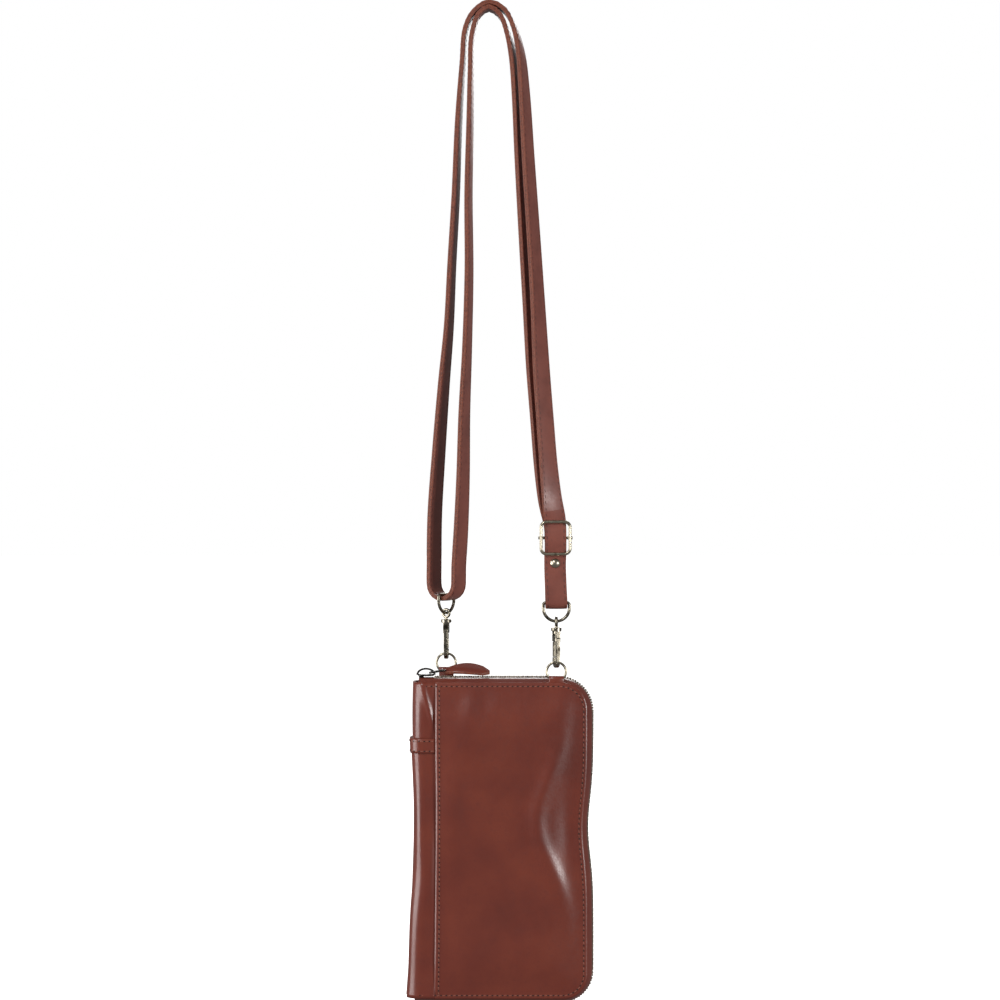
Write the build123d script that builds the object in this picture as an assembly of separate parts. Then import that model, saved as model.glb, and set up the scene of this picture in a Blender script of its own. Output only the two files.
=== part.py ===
"""Crossbody phone purse of waxed brown leather, hanging by its doubled shoulder strap.

Millimetres, +Z up. The origin is the hang point: the underside of the strap's arch,
where it rests on a peg. +X is to the right as the purse faces the viewer, and +Y is
to the back. Each sub-part is written to its own STEP file in parts/.
"""

from build123d import *

import math
import os

# ---------------------------------------------------------------- driving dimensions
PURSE_WIDTH = 101.3
PURSE_LEFT = -51.75  # outside of the spine, from the line under the hang point
PURSE_RIGHT = PURSE_LEFT + PURSE_WIDTH
PURSE_HEIGHT = 180.2
HALF_DEPTH = 11.6  # zip centre line to the outside of each cover
TOP_CORNER = 16.0
BOTTOM_CORNER = 14.5
PURSE_X = 6.6  # where the purse's own frame stands, from the hang point
PURSE_TOP = -388.4  # top edge of the covers

LEATHER = 1.4  # cover leather
THIN_LEATHER = 1.1  # gussets, pocket and tabs
LINING = 0.5
GAP = 0.05  # between layers that are sewn face to face
SEAM_X = -37.4  # where the spine leather meets the front cover
HINGE_X = -36.0  # where the back cover bends away from the spine
SPINE_END_X = -47.0  # where the zip and its gussets start
SPINE_ROUND = 4.0  # rounding of the spine's two long edges
ROOF = 3.6  # how far the zip stands proud of the covers' edge
POCKET_TOP = -31.6  # top hem of the phone pocket, below the covers' edge
POCKET_HEM = 8.0
POCKET_ROOM = 4.8  # depth of the phone pocket

TOOTH_PITCH = 2.6
TOOTH_WIDTH = 1.1
TAPE = 0.5
SLIDER_X = -43.0
SLIDER_LENGTH = 9.0

STRAP_WIDTH = 12.4
STRAP_THICKNESS = 2.6
BAR_RADIUS = 0.9  # wire of the D-rings and of the buckle
BAR_CLEARANCE = 0.15
RING_WIRE = 0.7  # wire radius of the O-rings on the purse
RING_RADIUS = 5.5  # their centre line
EYE_WIRE = 0.8
EYE_RADIUS = 2.2
D_HEIGHT = 10.7  # D-ring's bar to the bottom of its bow
D_HALF_WIDTH = 7.5  # centre line

# the right-hand pivots, from the strap down: D-ring bar, D-ring bow, O-ring top, O-ring foot
RIGHT_X = 38.6
RIGHT_Y = -10.0
BAR_Z = -341.6
BOW_Z = BAR_Z - D_HEIGHT
RING_TOP_Z = -375.8
RING_FOOT_Z = RING_TOP_Z - 2 * RING_RADIUS
# the left-hand chain is the right-hand one moved by this much
LEFT_SHIFT = (-63.5, 19.5, 4.0)
RIGHT_YAW = 3.0
LEFT_YAW = 55.0
RIGHT_HOOK_YAW = 18.0
LEFT_HOOK_YAW = -6.0

BUCKLE_Z = -304.5
BUCKLE_X = 38.1
BUCKLE_PLANE_Y = -14.0
BUCKLE_BAR_Y = -9.1
BUCKLE_HALF_WIDTH = 8.3
BUCKLE_HALF_HEIGHT = 9.2
RIVET_Z = -319.0
SKIVED = 1.4  # thinned end of the strap round the buckle's bar
LOOP_RADIUS = 8.6  # the strap's free turn through the left D-ring
LOOP_YAW = 57.0
STRAP_LENGTHS = 24  # sections in each length of strap that is lofted in one go
RIVET_POST = 1.2

parts = {}


def keep(name, shape):
    """Names a finished shape as a sub-part."""
    shape.label = name
    parts[name] = shape


# ---------------------------------------------------------------- small helpers
def slab(x0, x1, y0, y1, z0, z1):
    """A box between two corners."""
    middle = Pos((x0 + x1) / 2, (y0 + y1) / 2, (z0 + z1) / 2)
    return middle * Box(x1 - x0, y1 - y0, z1 - z0)


def sheet(x0, x1, y0, y1, z0, z1, top=0.0, bottom=0.0):
    """A flat sheet across Y whose right-hand corners are rounded."""
    piece = slab(x0, x1, y0, y1, z0, z1)
    for radius, pick in ((top, -1), (bottom, 0)):
        if radius:
            right = piece.edges().filter_by(Axis.Y).group_by(Axis.X)[-1]
            piece = fillet(right.sort_by(Axis.Z)[pick], radius)
    return piece


def purse(shape):
    """Moves a shape from the purse's own frame to its place under the strap."""
    return Pos(PURSE_X, 0, PURSE_TOP) * shape


def rod(start, end, radius):
    """A round bar between two points."""
    start, end = Vector(*start), Vector(*end)
    along = end - start
    return extrude(Plane(origin=start, z_dir=along) * Circle(radius), along.length)


def group(solids):
    """Several separate solids as one sub-part."""
    return Compound(children=list(solids))


# ---------------------------------------------------------------- the zip's path round three sides
def perimeter():
    """The covers' edge, along the top, down the side and back along the bottom."""
    top_x, low_x = PURSE_RIGHT - TOP_CORNER, PURSE_RIGHT - BOTTOM_CORNER
    low_z = -PURSE_HEIGHT
    bend = math.sqrt(0.5)
    top_mid = (top_x + TOP_CORNER * bend, 0, -TOP_CORNER * (1 - bend))
    low_mid = (low_x + BOTTOM_CORNER * bend, 0, low_z + BOTTOM_CORNER * (1 - bend))
    return Wire(
        [
            Line((SPINE_END_X, 0, 0), (top_x, 0, 0)),
            ThreePointArc((top_x, 0, 0), top_mid, (PURSE_RIGHT, 0, -TOP_CORNER)),
            Line((PURSE_RIGHT, 0, -TOP_CORNER), (PURSE_RIGHT, 0, low_z + BOTTOM_CORNER)),
            ThreePointArc((PURSE_RIGHT, 0, low_z + BOTTOM_CORNER), low_mid, (low_x, 0, low_z)),
            Line((low_x, 0, low_z), (SPINE_END_X, 0, low_z)),
        ]
    )


EDGE = perimeter()


def strip(points):
    """Sweeps a profile, drawn as depth and height above the covers' edge, along the zip's path."""
    start = Plane(origin=(SPINE_END_X, 0, 0), x_dir=(0, 1, 0), z_dir=(1, 0, 0))
    return sweep(start * make_face(Polyline(*points, close=True)), path=EDGE)


def mirrored(points, side):
    """The same profile on the front (-1) or back (+1) of the zip."""
    return [(-side * y, z) for y, z in points]


def gusset(side):
    """The leather strip that slopes from a cover's edge up to the zip."""
    inner = HALF_DEPTH - LEATHER
    return strip(
        mirrored(
            [
                (-inner + GAP, -0.4 - THIN_LEATHER),
                (-inner + GAP, -0.4),
                (-4.2, ROOF - 0.4),
                (-4.2, ROOF - 0.4 - THIN_LEATHER),
            ],
            side,
        )
    )


def zip_tape(side):
    """The woven tape sewn under a gusset, whose edge carries the teeth."""
    under = ROOF - 0.4 - THIN_LEATHER - GAP
    return strip(
        mirrored(
            [
                (-7.6, under - 2.04 - TAPE),
                (-7.6, under - 2.04),
                (-4.2, under),
                (-1.7, ROOF - 0.6),
                (-1.7, ROOF - 0.6 - TAPE),
                (-4.2, under - TAPE),
            ],
            side,
        )
    )


def teeth(side):
    """One row of teeth, half a pitch out of step with the other row."""
    first = 9.4 + (TOOTH_PITCH / 2 if side > 0 else 0)
    count = int((EDGE.length - first - 4) / TOOTH_PITCH)
    row = []
    for n in range(count):
        along = (first + n * TOOTH_PITCH) / EDGE.length
        point, run = EDGE.position_at(along), EDGE.tangent_at(along)
        outward = Vector(-run.Z, 0, run.X)
        here = Plane(origin=point, x_dir=run, z_dir=outward)
        row.append(here * Pos(0, side * 0.55, ROOF - 0.85) * Box(TOOTH_WIDTH, 2.2, 1.9))
    return group(row)


# ---------------------------------------------------------------- the purse's leather shell
def covers():
    """Front and back covers, their linings, gussets, zip tapes and teeth."""
    low = -PURSE_HEIGHT
    corners = {"top": TOP_CORNER, "bottom": BOTTOM_CORNER}
    inner = HALF_DEPTH - LEATHER
    front = sheet(SEAM_X, PURSE_RIGHT, -HALF_DEPTH, -inner, low, 0, **corners)
    back = sheet(HINGE_X + 0.3, PURSE_RIGHT, inner, HALF_DEPTH, low, 0, **corners)
    keep("front_cover", purse(front))
    keep("back_cover", purse(back))
    inset = 3.2
    rounded = {"top": TOP_CORNER - inset, "bottom": BOTTOM_CORNER - inset}
    for name, x0, near in (
        ("front_lining", SEAM_X + 8, -(inner - GAP)),
        ("back_lining", HINGE_X + 1.0, inner - GAP - LINING),
    ):
        piece = sheet(x0, PURSE_RIGHT - inset, near, near + LINING, low + inset, -inset, **rounded)
        keep(name, purse(piece))
    for name, side in (("front", -1), ("back", 1)):
        keep(f"{name}_gusset", purse(gusset(side)))
        keep(f"{name}_zip_tape", purse(zip_tape(side)))
        keep(f"{name}_zip_teeth", purse(teeth(side)))


def spine_shell(outer_x, outer_y, thickness, front_end, back_end, z0, z1, radius):
    """A U of leather round the spine: front leg, rounded spine and back leg."""
    width = max(front_end, back_end) - outer_x
    whole = slab(outer_x, outer_x + width, -outer_y, outer_y, z0, z1)
    whole = fillet(whole.edges().filter_by(Axis.Z).group_by(Axis.X)[0], radius)
    inside = slab(
        outer_x + thickness,
        outer_x + width + 1,
        -outer_y + thickness,
        outer_y - thickness,
        z0 - 1,
        z1 + 1,
    )
    inside = fillet(inside.edges().filter_by(Axis.Z).group_by(Axis.X)[0], radius - thickness)
    shell = whole - inside
    if front_end < back_end:
        shell -= slab(front_end, back_end + 1, -outer_y - 1, 0, z0 - 1, z1 + 1)
    if back_end < front_end:
        shell -= slab(back_end, front_end + 1, 0, outer_y + 1, z0 - 1, z1 + 1)
    return shell


def spine():
    """The spine leather, its lining and the pocket leather that wraps over it."""
    leg = HALF_DEPTH - LEATHER - GAP
    shell = spine_shell(
        PURSE_LEFT + 1.3, leg, LEATHER - 0.2, SEAM_X + 6, HINGE_X, -PURSE_HEIGHT, 0, SPINE_ROUND
    )
    for z in (-PURSE_HEIGHT - 1, -1.7):
        shell -= slab(SPINE_END_X - 0.1, 0, -leg - 1, leg + 1, z, z + 2.7)
    keep("spine", purse(shell))
    inside = leg - LEATHER + 0.2 - GAP
    lining = spine_shell(
        PURSE_LEFT + 1.3 + LEATHER - 0.2 + GAP,
        inside,
        LINING,
        SEAM_X + 6,
        HINGE_X - 1.0,
        -PURSE_HEIGHT + 2,
        -2,
        SPINE_ROUND - LEATHER + 0.15,
    )
    keep("spine_lining", purse(lining))
    for name, z in (("top_spine_cap", -1.2), ("bottom_spine_cap", -PURSE_HEIGHT + 1.2)):
        reach = leg - LEATHER + 0.2 - 2 * GAP - LINING
        cap = slab(PURSE_LEFT + 3.5, SPINE_END_X - GAP, -reach, reach, z - 0.6, z + 0.6)
        cap = fillet(cap.edges().filter_by(Axis.Z).group_by(Axis.X)[0], 1.1)
        keep(name, purse(cap))


def phone_pocket():
    """The slip pocket across the back: a tray of leather, and its wrap round the spine."""
    low = -PURSE_HEIGHT
    wall_in = HALF_DEPTH + POCKET_ROOM
    wall_out = wall_in + THIN_LEATHER
    near = HALF_DEPTH + GAP
    tray = sheet(HINGE_X + 0.6, PURSE_RIGHT, near, wall_out, low, POCKET_TOP, bottom=BOTTOM_CORNER)
    room = sheet(
        HINGE_X + 0.6 + THIN_LEATHER,
        PURSE_RIGHT - THIN_LEATHER,
        HALF_DEPTH + GAP - 1,
        wall_in,
        low + THIN_LEATHER,
        POCKET_TOP + 1,
        bottom=BOTTOM_CORNER - THIN_LEATHER,
    )
    keep("phone_pocket", purse(tray - room))
    hem = slab(
        HINGE_X + 0.6, PURSE_RIGHT, wall_out + GAP, wall_out + GAP + 0.7, POCKET_TOP - POCKET_HEM, POCKET_TOP
    )
    keep("phone_pocket_hem", purse(hem))
    wrap = spine_shell(
        PURSE_LEFT + 0.15, HALF_DEPTH - 0.15, THIN_LEATHER, SEAM_X - 0.2, HINGE_X, low, POCKET_TOP, SPINE_ROUND + 1.2
    )
    keep("spine_wrap", purse(wrap))
    band = spine_shell(
        PURSE_LEFT - 0.6,
        HALF_DEPTH + 0.6,
        0.7,
        SEAM_X - 0.2,
        HINGE_X,
        POCKET_TOP - POCKET_HEM,
        POCKET_TOP,
        SPINE_ROUND + 1.95,
    )
    keep("spine_wrap_hem", purse(band))


# ---------------------------------------------------------------- inside the purse
COIN_HALF = 2.3  # half the thickness of the coin pocket that divides the purse
COIN_WALL = 0.8
COIN_ZIP_Z = -24.0
COIN_SLIDER_X = -30.0


def inside():
    """Card slots, the coin pocket with its own zip, and the note pocket."""
    face = -(HALF_DEPTH - LEATHER - GAP - LINING - GAP)
    for n in range(4):
        near = face + n * (LINING + GAP)
        slot = sheet(-27, 42, near, near + LINING, -PURSE_HEIGHT + 12, -30 - 13 * n, bottom=7)
        keep(f"card_slot_{n + 1}", purse(slot))
    near = -face - LINING
    note = sheet(-27, 43, near, near + LINING, -PURSE_HEIGHT + 10, -26, bottom=8)
    keep("note_pocket", purse(note))

    x0, x1, z0, z1 = -44.0, 43.0, -PURSE_HEIGHT + 7, -8.0
    front = sheet(x0, x1, -COIN_HALF, -COIN_HALF + COIN_WALL, z0, z1, top=9, bottom=7)
    front -= slab(-36, 36, -COIN_HALF - 1, 0, COIN_ZIP_Z - 4, COIN_ZIP_Z + 4)
    back = sheet(x0, x1, COIN_HALF - COIN_WALL, COIN_HALF, z0, z1, top=9, bottom=7)
    rim = sheet(
        x0, x1, -COIN_HALF + COIN_WALL + GAP, COIN_HALF - COIN_WALL - GAP, z0, z1, top=9, bottom=7
    )
    rim -= sheet(x0 + 2, x1 - 2, -COIN_HALF, COIN_HALF, z0 + 2, z1 - 2, top=7, bottom=5)
    keep("coin_pocket_front", purse(front))
    keep("coin_pocket_back", purse(back))
    keep("coin_pocket_seam", purse(rim))
    tapes = [
        slab(-36 + GAP, 36 - GAP, -COIN_HALF + 0.1, -COIN_HALF + 0.5, z, z + 2.3)
        for z in (COIN_ZIP_Z - 4 + GAP, COIN_ZIP_Z + 4 - GAP - 2.3)
    ]
    keep("coin_zip_tape", purse(group(tapes)))
    row = []
    for n in range(35):
        for side in (-1, 1):
            x, z = -35.5 + 2.0 * n + (side > 0), COIN_ZIP_Z + side * 0.95
            row.append(slab(x, x + 0.9, -COIN_HALF - 0.2, -COIN_HALF + 0.7, z - 0.65, z + 0.65))
    keep("coin_zip_teeth", purse(group(row)))
    coin_slider()


def coin_slider():
    """The coin pocket's slider, with a staple that holds its hanging pull."""
    x, y, z = COIN_SLIDER_X, -COIN_HALF - 0.3, COIN_ZIP_Z
    plates = []
    for near, far in ((y - 1.0, y), (-COIN_HALF + 0.9, -COIN_HALF + 1.5)):
        blank = slab(x - 3.5, x + 3.5, near, far, z - 2.4, z + 2.4)
        plates.append(fillet(blank.edges().filter_by(Axis.Y), 1.4))
    web = slab(x - 3.0, x + 1.0, y - 0.5, -COIN_HALF + 1.2, z - 0.2, z + 0.2)
    staple = slab(x - 0.6, x + 0.6, y - 2.2, y - 0.9, z - 2.0, z + 2.0)
    staple -= slab(x - 1, x + 1, y - 1.6, y - 1.0, z - 1.2, z + 1.2)
    keep("coin_zip_slider", purse(plates[0] + plates[1] + web + staple))
    pull = slab(x - 2.2, x + 2.2, y - 1.5, y - 1.1, z - 15, z + 0.6)
    pull = fillet(pull.edges().filter_by(Axis.Y), 1.2)
    keep("coin_zip_pull", purse(pull - slab(x - 1.2, x + 1.2, y - 2, y, z - 3.6, z - 0.5)))


# ---------------------------------------------------------------- the main zip's slider and pull
LINK_PIVOT = (SLIDER_X + 2.2, ROOF + 2.4)  # x and height of the link's bar in the crown
TAB_PIVOT = (SLIDER_X + 11.2, ROOF + 3.8)  # x and height of the leather tab's bar
TAB_LENGTH = 22.5
TAB_WIDTH = 9.0
TAB_LEAN = 32.0  # how far the leather tab leans towards the front
LINK_WIRE = 0.55


def slider():
    """Two plates over and under the teeth, the wedge that joins them, and the crown."""
    half = SLIDER_LENGTH / 2
    x0, x1 = SLIDER_X - half, SLIDER_X + half
    top = slab(x0, x1, -4.2, 4.2, ROOF + 0.5, ROOF + 1.5)
    top = fillet(top.edges().filter_by(Axis.Z), 2.2)
    low = slab(x0, x1, -3.5, 3.5, ROOF - 2.9, ROOF - 1.9)
    low = fillet(low.edges().filter_by(Axis.Z), 2.2)
    wedge = slab(x0 + 0.4, x0 + 3.2, -1.1, 1.1, ROOF - 2.4, ROOF + 1.0)
    arch = Ellipse(5.6, 4.0) - Ellipse(4.4, 2.9)
    crown = Pos(SLIDER_X, 1.1, ROOF + 1.2) * extrude(Plane.XZ * arch, 2.2)
    crown -= slab(x0 - 3, x1 + 3, -3, 3, ROOF - 5, ROOF + 1.0)
    keep("zip_slider", purse(top + low + wedge + crown))


def wire_loop(start, end, half_width, wire, bend):
    """A closed wire link that lies along the line from start to end in the XZ plane."""
    start, end = Vector(start[0], 0, start[1]), Vector(end[0], 0, end[1])
    run = end - start
    plane = Plane(origin=start, x_dir=run, z_dir=run.cross(Vector(0, 1, 0)))
    far, side = run.length, half_width
    corners = ((0, -side), (far, -side), (far, side), (0, side))
    path = plane * FilletPolyline(*corners, radius=bend, close=True)
    return sweep(Plane(origin=path @ 0, z_dir=path % 0) * Circle(wire), path=path)


def pull():
    """A wire link through the crown, and the leather tab on its far end."""
    keep("pull_link", purse(wire_loop(LINK_PIVOT, TAB_PIVOT, 2.3, LINK_WIRE, 1.0)))
    blade = Pos(TAB_LENGTH / 2 + 1.2, 0) * SlotOverall(TAB_LENGTH, TAB_WIDTH)
    blade = Rotation(TAB_LEAN, 0, 0) * extrude(blade, 1.0, both=True)
    tongue = slab(-1.5, 4.0, -1.2, 1.2, -1.1, 1.1) - rod((0, -3, 0), (0, 3, 0), LINK_WIRE + 0.1)
    keep("pull_tab", purse(Pos(TAB_PIVOT[0], 0, TAB_PIVOT[1]) * (blade + tongue)))


# ---------------------------------------------------------------- strap hardware
def placed(side, yaw, shape):
    """Turns a shape about the chain's own vertical and puts it under the right or left pivot."""
    shift = Pos(*LEFT_SHIFT) if side == "left" else Pos(0, 0, 0)
    return shift * (Pos(RIGHT_X, RIGHT_Y, 0) * (Rotation(0, 0, yaw) * shape))


def corner(x, z, radius, turn_x, turn_z):
    """A quarter arc that rounds the corner at x, z of a wire in the XZ plane."""
    cut = radius * (1 - math.sqrt(0.5))
    return ThreePointArc(
        (x + turn_x * radius, 0, z),
        (x + turn_x * cut, 0, z + turn_z * cut),
        (x, 0, z + turn_z * radius),
    )


def d_ring():
    """A straight bar closed by a round bow, drawn in the XZ plane."""
    half, bend = D_HALF_WIDTH, 1.6
    bow_z = BOW_Z + half
    path = Wire(
        [
            Line((-half + bend, 0, BAR_Z), (half - bend, 0, BAR_Z)),
            corner(half, BAR_Z, bend, -1, -1),
            Line((half, 0, BAR_Z - bend), (half, 0, bow_z)),
            ThreePointArc((half, 0, bow_z), (0, 0, BOW_Z), (-half, 0, bow_z)),
            Line((-half, 0, bow_z), (-half, 0, BAR_Z - bend)),
            corner(-half, BAR_Z, bend, 1, -1),
        ]
    )
    start = Plane(origin=(-half + bend, 0, BAR_Z), z_dir=(1, 0, 0))
    return sweep(start * Circle(BAR_RADIUS), path=path)


EYE_Z = BOW_Z - (EYE_RADIUS - EYE_WIRE - BAR_RADIUS - 0.3)  # eye's centre
COLLAR_TOP = EYE_Z - EYE_RADIUS - EYE_WIRE - 0.5
COLLAR_HEIGHT = 2.0
HOOK_TOP = COLLAR_TOP - COLLAR_HEIGHT
CROOK_INNER = 1.8
CROOK_OUTER = 3.8
CROOK_GAP = 0.55  # play under the O-ring's wire
CROOK_Z = RING_TOP_Z - RING_WIRE - CROOK_GAP + CROOK_INNER
HOOK_HALF = 1.6
CROOK_HALF = 1.15
PIN_V = HOOK_TOP - 4.7
PIN_U = 2.0


def swivel_eye():
    """The loop that hangs on the D-ring, with its shank and headed end."""
    loop = Pos(0, 0, EYE_Z) * (Rotation(0, 90, 0) * Torus(EYE_RADIUS, EYE_WIRE))
    shank = Pos(0, 0, EYE_Z - EYE_RADIUS) * Cylinder(
        0.95, EYE_Z - EYE_RADIUS - HOOK_TOP + 0.15, align=(Align.CENTER, Align.CENTER, Align.MAX)
    )
    head = Pos(0, 0, HOOK_TOP - 0.15) * Cylinder(
        1.7, 1.2, align=(Align.CENTER, Align.CENTER, Align.MAX)
    )
    return loop + shank + head


def hook_body():
    """The swivelling hook: collar, windowed neck, back and crook, drawn in the YZ plane."""
    collar = Pos(0, 0, HOOK_TOP) * Cylinder(
        3.0, COLLAR_HEIGHT, align=(Align.CENTER, Align.CENTER, Align.MIN)
    )
    collar -= Pos(0, 0, HOOK_TOP) * Cylinder(1.05, 3 * COLLAR_HEIGHT)
    neck = slab(-HOOK_HALF, HOOK_HALF, -3.0, 3.0, HOOK_TOP - 6.0, HOOK_TOP)
    neck -= slab(-3, 3, -2.0, 2.0, HOOK_TOP - 2.2, HOOK_TOP + 0.01)
    back = slab(-CROOK_HALF, CROOK_HALF, -CROOK_OUTER, -CROOK_INNER, CROOK_Z, HOOK_TOP - 4.0)
    ring = Plane.YZ * (Circle(CROOK_OUTER) - Circle(CROOK_INNER))
    crook = Pos(-CROOK_HALF, 0, CROOK_Z) * extrude(ring, 2 * CROOK_HALF)
    crook -= slab(-3, 3, -6, 6, CROOK_Z, CROOK_Z + 6)
    tip = slab(-CROOK_HALF, CROOK_HALF, CROOK_INNER, CROOK_OUTER, CROOK_Z, CROOK_Z + 2.2)
    bar = neck + back + crook + tip
    bar -= slab(-0.7, 0.7, 0.1, 4.5, HOOK_TOP - 7.0, HOOK_TOP - 3.0)
    bar -= rod((-3, PIN_U, PIN_V), (3, PIN_U, PIN_V), 0.5)
    return collar + bar


def gate():
    """The lever that closes the hook, turning on its pin."""
    eye = Pos(-0.6, PIN_U, PIN_V) * (Rotation(0, 90, 0) * Cylinder(
        1.2, 1.2, align=(Align.CENTER, Align.CENTER, Align.MIN)
    ))
    foot = CROOK_Z + 2.35
    lever = slab(-0.6, 0.6, PIN_U - 0.1, PIN_U + 1.5, foot, PIN_V)
    wide = slab(-CROOK_HALF, CROOK_HALF, PIN_U - 0.1, PIN_U + 1.5, foot, HOOK_TOP - 6.3)
    lever = eye + lever + wide
    return lever - rod((-3, PIN_U, PIN_V), (3, PIN_U, PIN_V), 0.55)


def gate_pin():
    """The pin through the neck that the gate turns on."""
    return rod((-HOOK_HALF, PIN_U, PIN_V), (HOOK_HALF, PIN_U, PIN_V), 0.49)


def gate_spring():
    """The leaf in the neck that pushes the gate shut."""
    return slab(-0.5, 0.5, 0.15, 0.4, HOOK_TOP - 5.7, HOOK_TOP - 3.1)


def o_ring():
    """The ring between the hook and the purse, standing in the XZ plane."""
    middle = Pos(0, 0, (RING_TOP_Z + RING_FOOT_Z) / 2)
    return middle * (Rotation(90, 0, 0) * Torus(RING_RADIUS, RING_WIRE))


TAB_HALF = 4.2  # half the width of a ring tab


def upright_slot(radius, rise, half):
    """A prism along X of two half rounds, one above the other."""
    low = RING_FOOT_Z
    ends = rod((-half, 0, low), (half, 0, low), radius)
    ends += rod((-half, 0, low + rise), (half, 0, low + rise), radius)
    return ends + slab(-half, half, -radius, radius, low, low + rise)


def under_gusset(back):
    """The space below a gusset and behind a cover's edge; back is +1 or -1 along Y."""
    inner = HALF_DEPTH - LEATHER - 0.1
    corners = [(back * 14, -9), (back * 14, 0.05), (back * inner, 0.05)]
    corners += [(back * inner, -0.3), (back * 4.2, ROOF - 0.3), (back * 4.2, -9)]
    face = make_face(Polyline(*corners, close=True))
    start = Plane(origin=(-60, 0, 0), x_dir=(0, 1, 0), z_dir=(1, 0, 0))
    return purse(extrude(start * face, 120))


def ring_tab(side):
    """The leather loop sewn to a gusset that holds the O-ring's foot."""
    hole = RING_WIRE + 0.25
    rise = 2.1
    loop = upright_slot(hole + 0.75, rise, TAB_HALF) - upright_slot(hole, rise, TAB_HALF + 1)
    low = RING_FOOT_Z - hole - 0.7
    skirt = slab(-TAB_HALF, TAB_HALF, -0.6, 0.6, low - 4.5, low)
    tab = placed(side, 0, loop + skirt)
    return tab - under_gusset(1 if side == "left" else -1)


def chains():
    """D-ring, swivel eye, hook, gate, O-ring and tab on each side."""
    for side, bar_yaw, hook_yaw in (
        ("right", RIGHT_YAW, RIGHT_HOOK_YAW),
        ("left", LEFT_YAW, LEFT_HOOK_YAW),
    ):
        keep(f"{side}_d_ring", placed(side, bar_yaw, d_ring()))
        keep(f"{side}_swivel_eye", placed(side, bar_yaw, swivel_eye()))
        keep(f"{side}_hook", placed(side, hook_yaw, hook_body()))
        keep(f"{side}_hook_gate", placed(side, hook_yaw, gate()))
        keep(f"{side}_gate_pin", placed(side, hook_yaw, gate_pin()))
        keep(f"{side}_gate_spring", placed(side, hook_yaw, gate_spring()))
        keep(f"{side}_o_ring", placed(side, 0, o_ring()))
        keep(f"{side}_ring_tab", ring_tab(side))


# ---------------------------------------------------------------- the buckle and the rivet
def buckle():
    """A rounded frame with two ears that hold the centre bar, and the bar."""
    w, h = BUCKLE_HALF_WIDTH, BUCKLE_HALF_HEIGHT
    place = Pos(BUCKLE_X, 0, BUCKLE_Z)
    plane = Plane(origin=(0, BUCKLE_PLANE_Y, 0), x_dir=(1, 0, 0), z_dir=(0, -1, 0))
    path = plane * FilletPolyline((-w, h), (w, h), (w, -h), (-w, -h), radius=3.2, close=True)
    start = Plane(origin=path @ 0, z_dir=path % 0)
    frame = sweep(start * Circle(BAR_RADIUS), path=path)
    ears = []
    for x in (-w, w):
        ear = slab(x - 0.8, x + 0.8, BUCKLE_PLANE_Y, BUCKLE_BAR_Y + 1.5, -1.5, 1.5)
        ears.append(ear - rod((x - 2, BUCKLE_BAR_Y, 0), (x + 2, BUCKLE_BAR_Y, 0), BAR_RADIUS + 0.02))
    keep("buckle_frame", place * (frame + ears[0] + ears[1]))
    reach = w + 1.5
    bar = rod((-reach, BUCKLE_BAR_Y, 0), (reach, BUCKLE_BAR_Y, 0), BAR_RADIUS)
    keep("buckle_bar", place * bar)


RIVET_GAP = 0.22  # under the dome and the disc
TAIL_FRONT_Y = -11.35  # the tab's front layer at the rivet
TAIL_BACK_Y = TAIL_FRONT_Y + STRAP_THICKNESS + GAP


def rivet():
    """A dome-headed rivet through both layers of the strap's tail."""
    front = TAIL_FRONT_Y - STRAP_THICKNESS / 2
    back = TAIL_BACK_Y + STRAP_THICKNESS / 2
    post = rod((0, front, 0), (0, back, 0), RIVET_POST)
    dome = Pos(0, front - RIVET_GAP + 2.1, 0) * Sphere(3.5)
    dome &= slab(-4, 4, front - 3, front - RIVET_GAP, -4, 4)
    disc = rod((0, back + RIVET_GAP, 0), (0, back + RIVET_GAP + 0.8, 0), 2.6)
    link = rod((0, front - RIVET_GAP - 0.3, 0), (0, back + RIVET_GAP + 0.3, 0), RIVET_POST)
    keep("strap_rivet", Pos(BUCKLE_X - 0.2, 0, RIVET_Z) * (dome + post + link + disc))


# ---------------------------------------------------------------- the shoulder strap
# Centre line of each stretch: x, y, z, and the turn of the strap's width about Z.
FRONT_RUN = [
    (37.9, TAIL_FRONT_Y, RIVET_Z, 0),
    (38.1, -11.7, -313.5, 0),
    (38.1, -13.0, BUCKLE_Z, 0),
    (37.9, -11.5, -295.5, 1),
    (36.4, -11.3, -285, 24),
    (34.3, -10.5, -265, 39),
    (32.0, -9.3, -235, 44),
    (30.0, -8.2, -207, 47),
    (28.1, -7.0, -171, 56),
    (25.6, -5.2, -131, 60),
    (22.6, -3.4, -86, 63),
    (20.2, -1.8, -46, 68),
    (18.2, -1.0, -25, 74),
    (14.6, -0.4, -10.4, 82),
    (8.9, -0.1, -0.2, 88),
    (0.0, 0.0, 4.1, 90),
    (-8.9, 0.1, -1.4, 90),
    (-13.6, 0.3, -11.0, 88),
    (-15.3, 0.9, -31, 86),
    (-17.6, 2.4, -64, 82),
    (-19.3, 4.3, -106, 79),
    (-21.6, 6.8, -146, 77),
    (-23.4, 9.1, -182, 74),
    (-26.3, 11.0, -215, 68),
    (-29.4, 12.6, -256, 62),
    (-31.7, 13.9, -292, 58),
    (-32.1, 14.5, -322, 57),
]
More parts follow.
